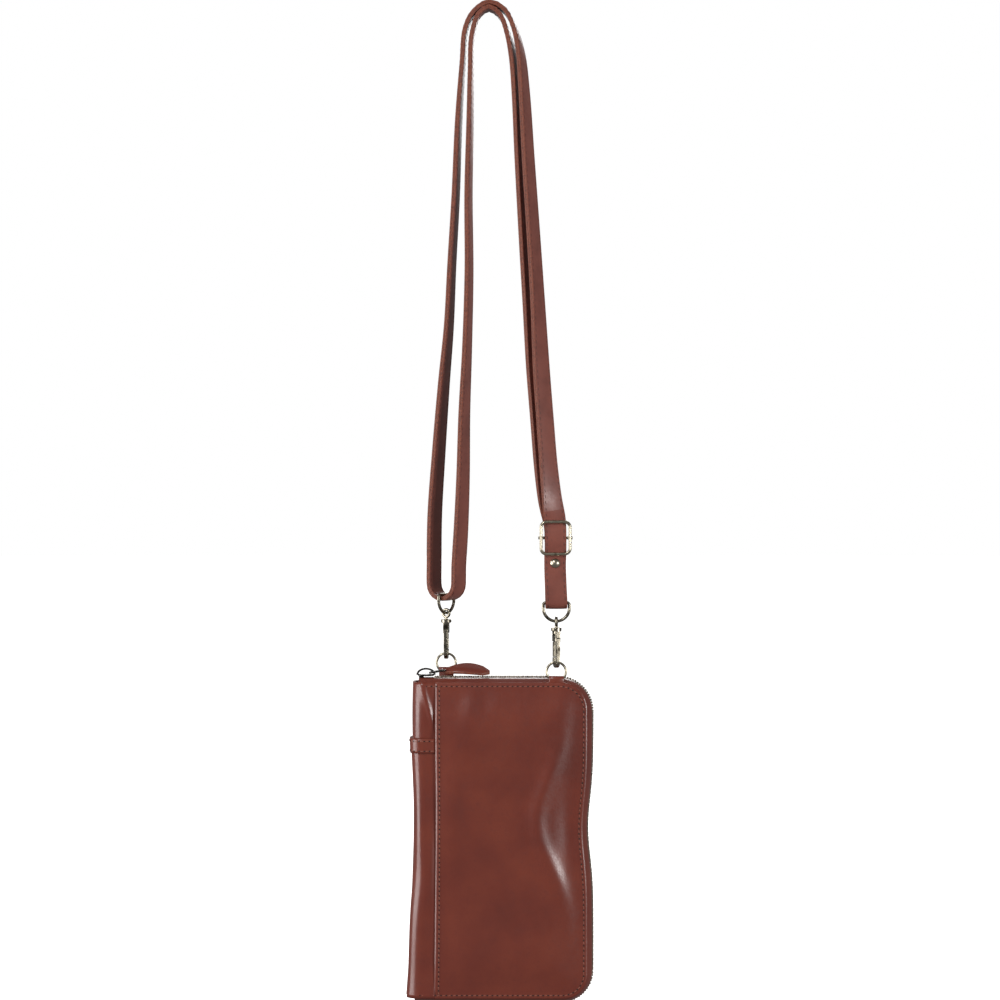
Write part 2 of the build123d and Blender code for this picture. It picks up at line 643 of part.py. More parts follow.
BACK_RUN = [
    (-17.6, 4.8, -322, 57),
    (-16.3, 4.2, -300, 58),
    (-15.1, 4.0, -270, 62),
    (-14.3, 3.8, -232, 68),
    (-12.7, 3.2, -194, 74),
    (-11.6, 2.6, -150, 77),
    (-11.9, 1.9, -106, 79),
    (-11.0, 1.0, -64, 82),
    (-10.6, 0.4, -35, 86),
    (-10.0, 0.1, -15.5, 89),
    (-6.2, 0.0, -2.9, 90),
    (0.0, 0.0, 1.3, 90),
    (6.4, -0.1, -3.1, 88),
    (10.7, -0.1, -13.5, 83),
    (14.2, 0.0, -28, 74),
    (16.3, -0.1, -48, 68),
    (18.4, -1.2, -86, 63),
    (21.0, -2.5, -131, 60),
    (23.6, -4.0, -171, 56),
    (26.2, -4.8, -207, 47),
    (28.6, -5.6, -235, 44),
    (31.4, -6.6, -265, 36),
    (34.4, -7.3, -284, 20),
    (37.5, -6.9, -296, 4),
    (38.0, -6.8, -300.5, 0),
]


def between(a, b, start, end, t):
    """The point at t on the line that is a at start and b at end."""
    w = (t - start) / (end - start)
    return [(1 - w) * p + w * q for p, q in zip(a, b)]


def smooth(points, span=9.0):
    """A centripetal Catmull-Rom curve that meets every point, cut into steps of about a span."""
    before = [2 * p - q for p, q in zip(points[0], points[1])]
    after = [2 * p - q for p, q in zip(points[-1], points[-2])]
    ends = [before, *points, after]
    curve = []
    for four in zip(ends, ends[1:], ends[2:], ends[3:]):
        t = [0.0]
        for p, q in zip(four, four[1:]):
            t.append(t[-1] + math.sqrt(math.dist(p[:3], q[:3])))
        steps = max(1, round(math.dist(four[1][:3], four[2][:3]) / span))
        for n in range(steps):
            at = t[1] + (t[2] - t[1]) * n / steps
            row = [between(four[i], four[i + 1], t[i], t[i + 1], at) for i in range(3)]
            row = [between(row[i], row[i + 1], t[i], t[i + 2], at) for i in range(2)]
            curve.append(between(row[0], row[1], t[1], t[2], at))
    return [*curve, list(points[-1])]


def turn(centre, radius, yaw, thickness=STRAP_THICKNESS, count=6):
    """Half a turn under a bar, from the back of it to the front."""
    points = []
    for n in range(count + 1):
        angle = math.pi * (n / count - 1)
        out = radius * math.cos(angle)
        x = centre[0] + out * math.sin(math.radians(yaw))
        y = centre[1] - out * math.cos(math.radians(yaw))
        points.append((x, y, centre[2] + radius * math.sin(angle), yaw, thickness))
    return points


def full(run):
    """Adds the strap's full thickness to each point of a run."""
    return [(*point, STRAP_THICKNESS) for point in run]


def strap_route():
    """The strap's centre line, from the riveted tail to the loop on the buckle's bar."""
    wrap = BAR_RADIUS + BAR_CLEARANCE + STRAP_THICKNESS / 2
    tail = [
        (37.9, TAIL_BACK_Y, RIVET_Z + 5.0, 0),
        (37.9, TAIL_BACK_Y, RIVET_Z - 3.0, 0),
        (38.3, RIGHT_Y + wrap - 0.3, -333.0, 2),
    ]
    rise = [(38.3, RIGHT_Y - wrap + 0.3, -333.0, 2), (37.9, TAIL_FRONT_Y, RIVET_Z - 3.0, 0)]
    left_x, left_y = RIGHT_X + LEFT_SHIFT[0], RIGHT_Y + LEFT_SHIFT[1]
    loop_z = BAR_Z + LEFT_SHIFT[2] - wrap + LOOP_RADIUS
    skived = BAR_RADIUS + BAR_CLEARANCE + SKIVED / 2
    back = [(37.5, -9.45, -296.0, 4, SKIVED), (35.3, -9.25, -287.5, 22, SKIVED)]
    route = [*full(tail), *turn((RIGHT_X, RIGHT_Y, BAR_Z), wrap, RIGHT_YAW), *full(rise)]
    route += full(FRONT_RUN)
    route += turn((left_x, left_y, loop_z), LOOP_RADIUS, LOOP_YAW, count=10)
    route += full(BACK_RUN)
    route += turn((BUCKLE_X, BUCKLE_BAR_Y, BUCKLE_Z), skived, 0, SKIVED)
    return smooth([*route, *back])


def strap():
    """The whole strap as one band of two glued layers, with its two rivet holes."""
    route = strap_route()
    sections = []
    for i, (x, y, z, yaw, thickness) in enumerate(route):
        before, after = route[max(i - 1, 0)], route[min(i + 1, len(route) - 1)]
        run = Vector(*after[:3]) - Vector(*before[:3])
        width = Vector(math.cos(math.radians(yaw)), math.sin(math.radians(yaw)), 0)
        width = width - run * (width.dot(run) / run.dot(run))
        here = Plane(origin=(x, y, z), x_dir=width, z_dir=run)
        sections.append(here * Rectangle(STRAP_WIDTH, thickness))
    band = None
    for start in range(0, len(sections) - 1, STRAP_LENGTHS):
        length = loft(sections[start : start + STRAP_LENGTHS + 1], ruled=True)
        band = length if band is None else band + length
    x = BUCKLE_X - 0.2
    band -= rod((x, BUCKLE_PLANE_Y - 2, RIVET_Z), (x, RIGHT_Y + 5, RIVET_Z), RIVET_POST + 0.05)
    keep("shoulder_strap", band)
    length = sum(math.dist(p[:3], q[:3]) for p, q in zip(route, route[1:]))
    print(f"strap {length:.0f} mm long, {len(route)} sections")


def build():
    """Makes every sub-part and writes it to its own file."""
    covers()
    spine()
    phone_pocket()
    inside()
    slider()
    pull()
    chains()
    buckle()
    rivet()
    strap()
    os.makedirs("parts", exist_ok=True)
    for name, shape in parts.items():
        export_step(shape, f"parts/{name}.step")
    print(len(parts), "sub-parts")


if __name__ == "__main__":
    build()
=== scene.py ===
"""The visual model of a crossbody phone purse: waxed leather, brass fittings and a metal zip."""
import logging
import math
from dataclasses import dataclass, field, replace
from enum import Enum
from typing import Callable, Sequence

import bmesh
import bpy
from mathutils import Matrix, Vector


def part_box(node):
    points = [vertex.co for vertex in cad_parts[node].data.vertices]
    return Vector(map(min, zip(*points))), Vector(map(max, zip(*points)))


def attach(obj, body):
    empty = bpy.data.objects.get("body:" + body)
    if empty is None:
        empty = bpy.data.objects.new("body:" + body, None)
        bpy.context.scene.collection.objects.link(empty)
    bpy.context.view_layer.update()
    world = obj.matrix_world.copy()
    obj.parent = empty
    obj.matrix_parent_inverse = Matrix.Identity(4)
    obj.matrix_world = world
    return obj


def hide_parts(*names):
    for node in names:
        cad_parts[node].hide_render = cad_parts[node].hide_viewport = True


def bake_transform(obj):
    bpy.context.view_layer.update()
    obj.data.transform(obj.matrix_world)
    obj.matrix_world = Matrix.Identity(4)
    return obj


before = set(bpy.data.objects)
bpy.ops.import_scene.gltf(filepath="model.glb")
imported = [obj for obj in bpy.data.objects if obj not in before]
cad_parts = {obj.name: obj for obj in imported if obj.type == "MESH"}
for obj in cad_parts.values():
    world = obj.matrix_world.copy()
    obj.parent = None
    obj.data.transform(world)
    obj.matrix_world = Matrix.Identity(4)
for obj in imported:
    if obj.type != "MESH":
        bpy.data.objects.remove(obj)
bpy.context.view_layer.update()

MM = 0.001
LOG = logging.getLogger("purse")

Point = tuple[float, float, float]
Profile = list[tuple[float, float]]
Material, Piece = bpy.types.Material, bpy.types.Object
Node, Socket, Tree = bpy.types.Node, bpy.types.NodeSocket, bpy.types.NodeTree
Mesh, Edge, Vert = bmesh.types.BMesh, bmesh.types.BMEdge, bmesh.types.BMVert


# ---------------------------------------------------------------- colour and nodes
def srgb(code: str) -> tuple[float, float, float, float]:
    """Turns an sRGB hex colour into the linear colour that nodes take.

    Args:
        code: six hex digits.

    Returns:
        Linear red, green, blue and an alpha of 1.
    """
    channels = [int(code[i : i + 2], 16) / 255 for i in (0, 2, 4)]
    linear = [c / 12.92 if c <= 0.04045 else ((c + 0.055) / 1.055) ** 2.4 for c in channels]
    return (*linear, 1.0)


def feed(tree: Tree, node: Node, **inputs) -> None:
    """Gives a node's inputs their links or values.

    Args:
        tree: the material's node tree.
        node: the node.
        inputs: socket name, with _ for a space, or i and the socket's number, to a value or an output.
    """
    for name, value in inputs.items():
        numbered = name[0] == "i" and name[1:].isdigit()
        socket = node.inputs[int(name[1:]) if numbered else name.replace("_", " ")]
        if isinstance(value, Socket):
            tree.links.new(value, socket)
        else:
            socket.default_value = value


def add(tree: Tree, kind: str, settings: dict | None = None, **inputs) -> Node:
    """Adds one node, with its settings and the links or values of its inputs.

    Args:
        tree: the material's node tree.
        kind: the node's type name without its prefix.
        settings: properties of the node itself.
        inputs: what feed takes.

    Returns:
        The new node.
    """
    node = tree.nodes.new(f"ShaderNode{kind}")
    for name, value in (settings or {}).items():
        setattr(node, name, value)
    feed(tree, node, **inputs)
    return node


def noise(tree: Tree, place: Socket, size_mm: float, **inputs) -> Socket:
    """Draws noise.

    Args:
        tree: the material's node tree.
        place: the coordinates.
        size_mm: about how large its patches are, in millimetres.
        inputs: the noise node's other inputs.

    Returns:
        The noise's socket.
    """
    return add(tree, "TexNoise", Vector=place, Scale=1 / (size_mm * MM), **inputs).outputs[0]


def bump(tree: Tree, height: Socket, strength: float, depth_mm: float) -> Socket:
    """Tilts the shading by a height.

    Args:
        tree: the material's node tree.
        height: the height's socket, 0 to 1.
        strength: how much of it shows.
        depth_mm: what a height of 1 stands for, in millimetres.

    Returns:
        The tilted normal's socket.
    """
    return add(tree, "Bump", Height=height, Strength=strength, Distance=depth_mm * MM).outputs[0]


def ramp(tree: Tree, value: Socket, low: float, high: float) -> Socket:
    """Stretches a value so that low becomes 0 and high becomes 1.

    Args:
        tree: the material's node tree.
        value: the socket to read.
        low: the value that becomes 0.
        high: the value that becomes 1.

    Returns:
        The stretched value's socket.
    """
    settings = {"interpolation_type": "SMOOTHSTEP"}
    return add(tree, "MapRange", settings, Value=value, From_Min=low, From_Max=high).outputs[0]


def mix(tree: Tree, amount: object, first: object, second: object) -> Socket:
    """Mixes two colours.

    Args:
        tree: the material's node tree.
        amount: how much of the second colour, 0 to 1.
        first: a colour or a socket.
        second: a colour or a socket.

    Returns:
        The mixed colour's socket.
    """
    return add(tree, "Mix", {"data_type": "RGBA"}, i0=amount, i6=first, i7=second).outputs[2]


def new_material(name: str) -> tuple[Material, Tree, Node, Socket]:
    """Makes an empty node material.

    Args:
        name: the material's name.

    Returns:
        The material, its node tree, its Principled shader and the object's coordinates.
    """
    material = bpy.data.materials.new(name)
    material.use_nodes = True
    tree = material.node_tree
    tree.nodes.clear()
    shader = add(tree, "BsdfPrincipled")
    add(tree, "OutputMaterial", Surface=shader.outputs[0])
    return material, tree, shader, add(tree, "TexCoord").outputs["Object"]


# ---------------------------------------------------------------- finishes
@dataclass(frozen=True)
class WaxedLeather:
    """Full-grain calf, drum dyed and waxed by hand: mottled colour under a soft, deep gloss."""

    name: str
    base: str
    dark: str
    light: str
    roughness: float = 0.34
    cloud_mm: float = 26.0
    fleck_mm: float = 2.2
    hair_mm: float = 0.7
    grain_mm: float = 1.3  # real pores are about 0.3 mm, drawn coarser so that they show
    relief: float = 0.2
    coat: float = 0.3

    def material(self) -> Material:
        """Builds the leather's material."""
        material, tree, shader, place = new_material(self.name)
        cloud = noise(tree, place, self.cloud_mm, Detail=5.0)
        fleck = noise(tree, place, self.fleck_mm, Detail=3.0)
        grain = add(tree, "TexVoronoi", Vector=place, Scale=1 / (self.grain_mm * MM), Randomness=1.0)
        hair = noise(tree, place, self.hair_mm, Detail=2.0)
        warm = mix(tree, ramp(tree, cloud, 0.42, 0.75), srgb(self.base), srgb(self.light))
        deep = mix(tree, ramp(tree, cloud, 0.52, 0.22), warm, srgb(self.dark))
        spots = add(tree, "Math", {"operation": "MULTIPLY"}, i0=ramp(tree, fleck, 0.52, 0.75), i1=0.35)
        rough = add(
            tree, "MapRange", Value=fleck, From_Min=0.3, From_Max=0.7,
            To_Min=self.roughness - 0.05, To_Max=self.roughness + 0.07,
        )
        pores = add(tree, "Math", {"operation": "MULTIPLY_ADD"}, i0=hair, i1=0.9, i2=grain.outputs[0])
        feed(
            tree, shader,
            Base_Color=mix(tree, spots.outputs[0], deep, srgb(self.dark)),
            Roughness=rough.outputs[0],
            Normal=bump(tree, pores.outputs[0], self.relief, 0.12),
            IOR=1.48, Coat_Weight=self.coat, Coat_Roughness=0.17,
        )
        return material


@dataclass(frozen=True)
class CutEdge:
    """The raw edge of vegetable-tanned leather: fibrous, matt and lighter than the dyed face."""

    name: str = "cut_leather_edge"
    base: str = "7c3f2a"
    dark: str = "55291c"
    fibre_mm: float = 0.9

    def material(self) -> Material:
        """Builds the edge's material."""
        material, tree, shader, place = new_material(self.name)
        fibre = noise(tree, place, self.fibre_mm, Detail=4.0)
        colour = mix(tree, ramp(tree, fibre, 0.42, 0.7), srgb(self.base), srgb(self.dark))
        feed(tree, shader, Base_Color=colour, Normal=bump(tree, fibre, 0.4, 0.2), Roughness=0.62)
        return material


@dataclass(frozen=True)
class WaxedThread:
    """Bonded polyester thread, two plies twisted: a dull sheen with a fine slanting twist."""

    name: str
    base: str
    shade: str
    twist_mm: float = 0.5

    def material(self) -> Material:
        """Builds the thread's material."""
        material, tree, shader, place = new_material(self.name)
        bands = {"bands_direction": "DIAGONAL"}
        wave = add(tree, "TexWave", bands, Vector=place, Scale=0.3 / (self.twist_mm * MM), Distortion=1.5)
        twist = wave.outputs[0]
        colour = mix(tree, twist, srgb(self.base), srgb(self.shade))
        feed(tree, shader, Base_Color=colour, Normal=bump(tree, twist, 0.3, 0.1), Roughness=0.55)
        return material


@dataclass(frozen=True)
class PlatedMetal:
    """Zinc or brass, plated and then tumbled: bright on the high spots, brown in the worn lacquer."""

    name: str
    bright: str
    aged: str
    roughness: float
    wear: float = 0.5
    patch_mm: float = 4.0

    def material(self) -> Material:
        """Builds the metal's material."""
        material, tree, shader, place = new_material(self.name)
        patch = noise(tree, place, self.patch_mm, Detail=1.5, Roughness=0.4)
        fine = noise(tree, place, 0.35, Detail=2.0)
        worn = ramp(tree, patch, 0.72 - self.wear * 0.4, 0.82 - self.wear * 0.2)
        rough = add(
            tree, "MapRange", Value=patch, From_Min=0.35, From_Max=0.7,
            To_Min=self.roughness, To_Max=self.roughness + 0.16,
        )
        feed(
            tree, shader,
            Base_Color=mix(tree, worn, srgb(self.bright), srgb(self.aged)),
            Roughness=rough.outputs[0],
            Normal=bump(tree, fine, 0.03, 0.04),
            Metallic=1.0,
        )
        return material


class Weave(Enum):
    """How a cloth is woven."""

    TWILL = "twill"
    TAPE = "tape"


@dataclass(frozen=True)
class WovenCloth:
    """Polyester cloth: a matt weave with a slight sheen along its ribs."""

    name: str
    base: str
    shade: str
    weave: Weave
    rib_mm: float = 0.9  # real ribs are about 0.4 mm, drawn coarser so that they show

    def material(self) -> Material:
        """Builds the cloth's material."""
        material, tree, shader, place = new_material(self.name)
        bands = {"bands_direction": "DIAGONAL" if self.weave is Weave.TWILL else "X"}
        rib = add(tree, "TexWave", bands, Vector=place, Scale=0.314 / (self.rib_mm * MM)).outputs[1]
        slub = noise(tree, place, 3, Detail=3.0)
        tone = add(tree, "Math", {"operation": "MULTIPLY"}, i0=rib, i1=slub)
        colour = mix(tree, ramp(tree, tone.outputs[0], 0.0, 0.7), srgb(self.shade), srgb(self.base))
        feed(
            tree, shader,
            Base_Color=colour, Normal=bump(tree, rib, 0.5, 0.15), Roughness=0.75, Sheen_Weight=0.25,
        )
        return material


@dataclass
class Finishes:
    """Every finish of the purse, each built once."""

    leather: Material = field(init=False)
    strap_leather: Material = field(init=False)
    cut_edge: Material = field(init=False)
    thread: Material = field(init=False)
    strap_thread: Material = field(init=False)
    needle_hole_shade: Material = field(init=False)
    brass: Material = field(init=False)
    pale_brass: Material = field(init=False)
    gunmetal: Material = field(init=False)
    teeth: Material = field(init=False)
    lining: Material = field(init=False)
    tape: Material = field(init=False)

    def __post_init__(self) -> None:
        """Builds the materials."""
        self.leather = WaxedLeather("waxed_calf", "6c2e22", "622a20", "753425").material()
        self.strap_leather = WaxedLeather(
            "waxed_strap_calf", "7b4338", "6d3a30", "84493c", roughness=0.44, cloud_mm=14, coat=0.1
        ).material()
        self.cut_edge = CutEdge().material()
        self.thread = WaxedThread("tan_thread", "9d6150", "74402f").material()
        self.strap_thread = WaxedThread("brown_thread", "5a2f26", "43211a").material()
        # the needle holes: the cut-edge finish made near-black, the painted shade of the real holes
        self.needle_hole_shade = CutEdge("needle_hole_shade", "1f0c08", "140705").material()
        self.brass = PlatedMetal("antique_brass", "938c7d", "3a352c", 0.2, wear=0.6).material()
        self.pale_brass = PlatedMetal("pale_brass_wire", "b3ab98", "786f5d", 0.22, wear=0.4).material()
        self.gunmetal = PlatedMetal("gunmetal_plate", "4b4845", "26221f", 0.24, wear=0.4).material()
        self.teeth = PlatedMetal("aged_zip_metal", "c2b5a4", "77695a", 0.32, wear=0.4, patch_mm=5).material()
        self.lining = WovenCloth("brown_twill_lining", "33241d", "1d1410", Weave.TWILL).material()
        self.tape = WovenCloth("zip_tape_cloth", "4a2a20", "2c1711", Weave.TAPE).material()


# ---------------------------------------------------------------- mesh helpers
def publish(
    name: str, bm: Mesh, materials: Sequence[Material], smooth_angle: float = 40.0
) -> Piece:
    """Turns a bmesh into a finished object at the origin.

    Args:
        name: the piece's name.
        bm: the mesh, in metres, which is freed.
        materials: its material slots.
        smooth_angle: edges sharper than this many degrees stay sharp.

    Returns:
        The object.
    """
    mesh = bpy.data.meshes.new(name)
    bm.to_mesh(mesh)
    bm.free()
    mesh.shade_smooth()
    mesh.set_sharp_from_angle(angle=math.radians(smooth_angle))
    for material in materials:
        mesh.materials.append(material)
    piece = bpy.data.objects.new(name, mesh)
    bpy.context.scene.collection.objects.link(piece)
    return piece


def along_axes(origin: Vector, first: Vector, second: Vector, third: Vector) -> Matrix:
    """A matrix whose three columns are the given axes."""
    columns = Matrix((first, second, third)).transposed().to_4x4()
    return Matrix.Translation(origin) @ columns


def sweep(bm: Mesh, profile: Profile, stations: Sequence[Matrix]) -> None:
    """Draws a closed profile along a row of stations and closes both ends.

    Args:
        bm: the mesh to add to.
        profile: the outline's points, across and up, in the stations' units.
        stations: the place of each section; its third axis points along the run.
    """
    ring = [bm.verts.new(stations[0] @ Vector((u, v, 0))) for u, v in profile]
    edges = [bm.edges.new((p, q)) for p, q in zip(ring, [*ring[1:], ring[0]])]
    ends = [bm.faces.new(ring)]
    for before, after in zip(stations, stations[1:]):
        grown = bmesh.ops.extrude_edge_only(bm, edges=edges)["geom"]
        edges = [g for g in grown if isinstance(g, Edge) and len(g.link_faces) == 1]
        verts = [g for g in grown if isinstance(g, Vert)]
        bmesh.ops.transform(bm, matrix=after @ before.inverted(), verts=verts)
    bmesh.ops.contextual_create(bm, geom=edges)
    bmesh.ops.recalc_face_normals(bm, faces=bm.faces)


def bent(bm: Mesh, shape: Callable[[Vector], Vector]) -> None:
    """Moves every vertex by a function of its place."""
    for vert in bm.verts:
        vert.co = shape(vert.co)


def turn_faces(bm: Mesh, facing: int) -> None:
    """Makes a sheet's faces look to the front, when facing is -1, or to the back, when it is 1."""
    bmesh.ops.recalc_face_normals(bm, faces=bm.faces)
    if facing * sum(face.normal.y for face in bm.faces) < 0:
        bmesh.ops.reverse_faces(bm, faces=bm.faces)


def leather_sheet(name: str, bm: Mesh, finishes: Finishes, wall: float) -> Piece:
    """Turns a one-sided mesh into a sheet of leather with a raw cut edge.

    Args:
        name: the piece's name.
        bm: the outer face, in metres, which is freed.
        finishes: the purse's finishes.
        wall: the leather's thickness.

    Returns:
        The piece, which rides on nothing yet.
    """
    piece = publish(name, bm, [finishes.leather, finishes.cut_edge], 60)
    solid = piece.modifiers.new("thickness", "SOLIDIFY")
    solid.thickness = wall
    solid.offset = -1
    solid.material_offset_rim = 1
    return piece


@dataclass(frozen=True)
class Stitch:
    """One row's stitch: its pitch, thread and height."""

    pitch: float = 2.9 * MM
    length: float = 2.0 * MM
    width: float = 0.62 * MM
    height: float = 0.42 * MM
    slant: float = 14.0
    hole: Point = (0.46 * MM, 0.16 * MM, 0.5 * MM)

    def row(
        self, bm: Mesh, at: Callable[[float], Matrix], length: float, holes: bool = True
    ) -> None:
        """Sews a row of stitches.

        Args:
            bm: the mesh to add to; threads take its first material and needle holes its second.
            at: the place at a distance along the row; its third axis points along it, its second out.
            length: the row's length.
            holes: whether needle holes are drawn between the stitches, as near-black discs of painted shade.
        """
        count = max(1, int(length / self.pitch))
        lean = Matrix.Rotation(math.radians(self.slant), 4, "Y")
        for n in range(count):
            middle = (n + 0.5) * length / count
            shape = Matrix.Diagonal((self.width / 2, self.height / 2, self.length / 2, 1))
            bmesh.ops.create_icosphere(bm, subdivisions=1, radius=1, matrix=at(middle) @ lean @ shape)
            if holes:
                # each needle hole is a flat near-black disc: painted shade where the hole is
                flat = Matrix.Diagonal((*self.hole, 1))
                place = at(middle + 0.5 * length / count) @ flat
                new = bmesh.ops.create_icosphere(bm, subdivisions=1, radius=1, matrix=place)["verts"]
                for face in {f for v in new for f in v.link_faces}:
                    face.material_index = 1


# ---------------------------------------------------------------- the purse's shared shape
@dataclass
class Shape:
    """Where the purse's leather lies, from the frame's covers, with the slouch of a used purse."""

    left: float = field(init=False)
    right: float = field(init=False)
    top: float = field(init=False)
    bottom: float = field(init=False)
    front: float = field(init=False)
    back: float = field(init=False)
    spine_left: float = field(init=False)
    top_radius: float = 16 * MM
    bottom_radius: float = 14.5 * MM
    waist: float = 3.0 * MM
    flare: float = 3.2 * MM

    def __post_init__(self) -> None:
        """Reads the covers' boxes."""
        low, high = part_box("front_cover")
        self.left, self.right = low[0], high[0]
        self.bottom, self.top = low[2], high[2]
        self.front = low[1]
        self.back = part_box("back_cover")[1][1]
        self.spine_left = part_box("spine")[0][0]

    @property
    def height(self) -> float:
        """The covers' height."""
        return self.top - self.bottom

    def slouch(self, point: Vector) -> Vector:
        """Moves a point of the leather to where wear has pushed it.

        Args:
            point: a place on the purse as cut.

        Returns:
            The place on the purse as worn.
        """
        down = (self.top - point.z) / self.height
        across = (point.x - self.spine_left) / (self.right - self.spine_left)
        to_right = max(0.0, min(1.0, (across - 0.6) / 0.4)) ** 2
        to_left = max(0.0, min(1.0, (0.25 - across) / 0.25)) ** 2
        dent = math.exp(-(((down - 0.46) / 0.13) ** 2))
        pinch = math.exp(-(((down - 0.42) / 0.2) ** 2))
        lower = max(0.0, (down - 0.55) / 0.45) ** 2
        x = point.x - self.waist * dent * to_right + (1.2 * MM * pinch - self.flare * lower) * to_left
        return Vector((x, point.y, point.z))


@dataclass
class Rim:
    """The line round three sides of the covers, which the zip, gussets and stitches follow."""

    shape: Shape
    start: float
    inset: float = 0.0

    def __post_init__(self) -> None:
        """Works out the lengths of the straights and corners."""
        s = self.shape
        self.high = s.top_radius - self.inset
        self.low = s.bottom_radius - self.inset
        across = s.right - self.inset - self.start
        down = s.height - 2 * self.inset
        self.lengths = (
            across - self.high,
            math.pi / 2 * self.high,
            down - self.high - self.low,
            math.pi / 2 * self.low,
            across - self.low,
        )
        self.length = sum(self.lengths)

    def at(self, distance: float) -> tuple[Vector, Vector]:
        """The point and the direction at a distance along the rim.

        Args:
            distance: metres from the top of the spine.

        Returns:
            A point in the plane y = 0 and a unit direction.
        """
        s = self.shape
        right, top, bottom = s.right - self.inset, s.top - self.inset, s.bottom + self.inset
        a, b, c, d, _ = self.lengths
        if distance <= a:
            return Vector((self.start + distance, 0, top)), Vector((1, 0, 0))
        distance -= a
        if distance <= b:
            turn = distance / self.high
            middle = Vector((right - self.high, 0, top - self.high))
            return middle + self.high * Vector((math.sin(turn), 0, math.cos(turn))), Vector(
                (math.cos(turn), 0, -math.sin(turn))
            )
        distance -= b
        if distance <= c:
            return Vector((right, 0, top - self.high - distance)), Vector((0, 0, -1))
        distance -= c
        if distance <= d:
            turn = distance / self.low
            middle = Vector((right - self.low, 0, bottom + self.low))
            return middle + self.low * Vector((math.cos(turn), 0, -math.sin(turn))), Vector(
                (-math.sin(turn), 0, -math.cos(turn))
            )
        distance -= d
        return Vector((right - self.low - distance, 0, bottom)), Vector((-1, 0, 0))

    def station(self, distance: float, y: float = 0.0, rise: float = 0.0) -> Matrix:
        """A section's place: its axes are back, outward and along."""
        point, run = self.at(distance)
        outward = Vector((-run.z, 0, run.x))
        return along_axes(point + Vector((0, y, 0)) + outward * rise, Vector((0, 1, 0)), outward, run)

    def stations(self, step: float) -> list[Matrix]:
        """Stations all along the rim, no further apart than a step."""
        count = math.ceil(self.length / step)
        return [self.station(self.length * n / count) for n in range(count + 1)]


def rounded(u: float, v: float, shape: "Outline") -> Vector:
    """Maps a unit square onto a sheet whose right-hand corners are round.

    Args:
        u: 0 at the left edge to 1 at the right.
        v: 0 at the bottom to 1 at the top.
        shape: the sheet's outline.

    Returns:
        The point in the plane y = 0.
    """
    x = shape.left + u * (shape.right - shape.left)
    z = shape.bottom + v * (shape.top - shape.bottom)
    for radius, edge, sign in ((shape.top_radius, shape.top, 1), (shape.bottom_radius, shape.bottom, -1)):
        if radius <= 0:
            continue
        a = (x - (shape.right - radius)) / radius
        b = sign * (z - (edge - sign * radius)) / radius
        if a > 0 and b > 0:
            x = shape.right - radius + radius * a * math.sqrt(max(0.0, 1 - b * b / 2))
            z = edge - sign * radius + sign * radius * b * math.sqrt(max(0.0, 1 - a * a / 2))
            break
    return Vector((x, 0, z))


@dataclass(frozen=True)
class Outline:
    """A flat sheet's outline: a rectangle with its right-hand corners rounded."""

    left: float
    right: float
    bottom: float
    top: float
    top_radius: float
    bottom_radius: float

    def inside(self, point: Vector) -> float:
        """How far a point lies inside the outline's right, top and bottom edges."""
        gaps = [self.right - point.x, self.top - point.z, point.z - self.bottom]
        for radius, edge, sign in ((self.top_radius, self.top, 1), (self.bottom_radius, self.bottom, -1)):
            a = point.x - (self.right - radius)
            b = sign * (point.z - (edge - sign * radius))
            if radius > 0 and a > 0 and b > 0:
                gaps.append(radius - math.hypot(a, b))
        return max(0.0, min(gaps))

    def grid(self, bm: Mesh, step: float) -> None:
        """Fills the outline with a sheet of near-square faces in the plane y = 0."""
        wide = round((self.right - self.left) / step)
        tall = round((self.top - self.bottom) / step)
        bmesh.ops.create_grid(bm, x_segments=wide, y_segments=tall, size=0.5)
        bent(bm, lambda co: rounded(co.x + 0.5, co.y + 0.5, self))


def hump(x: float, middle: float, spread: float) -> float:
    """A bell of height 1."""
    return math.exp(-(((x - middle) / spread) ** 2))


@dataclass(frozen=True)
class Bulge:
    """A soft swelling of the front cover; its place and spread are shares of the cover."""

    height: float
    down: float
    tall: float
    across: float
    wide: float

    def at(self, down: float, across: float) -> float:
        """How far it stands out at a place on the cover."""
        return self.height * hump(down, self.down, self.tall) * hump(across, self.across, self.wide)


BULGES = (
    Bulge(-1.7 * MM, 0.46, 0.17, 0.90, 0.085),  # the hollow at the pinched right edge
    Bulge(1.1 * MM, 0.12, 0.09, 0.24, 0.2),  # fullness below the top seam
    Bulge(1.4 * MM, 0.40, 0.16, 0.10, 0.08),  # fullness beside the spine seam
    Bulge(-0.4 * MM, 0.75, 0.12, 0.35, 0.25),  # the slack low on the left
)


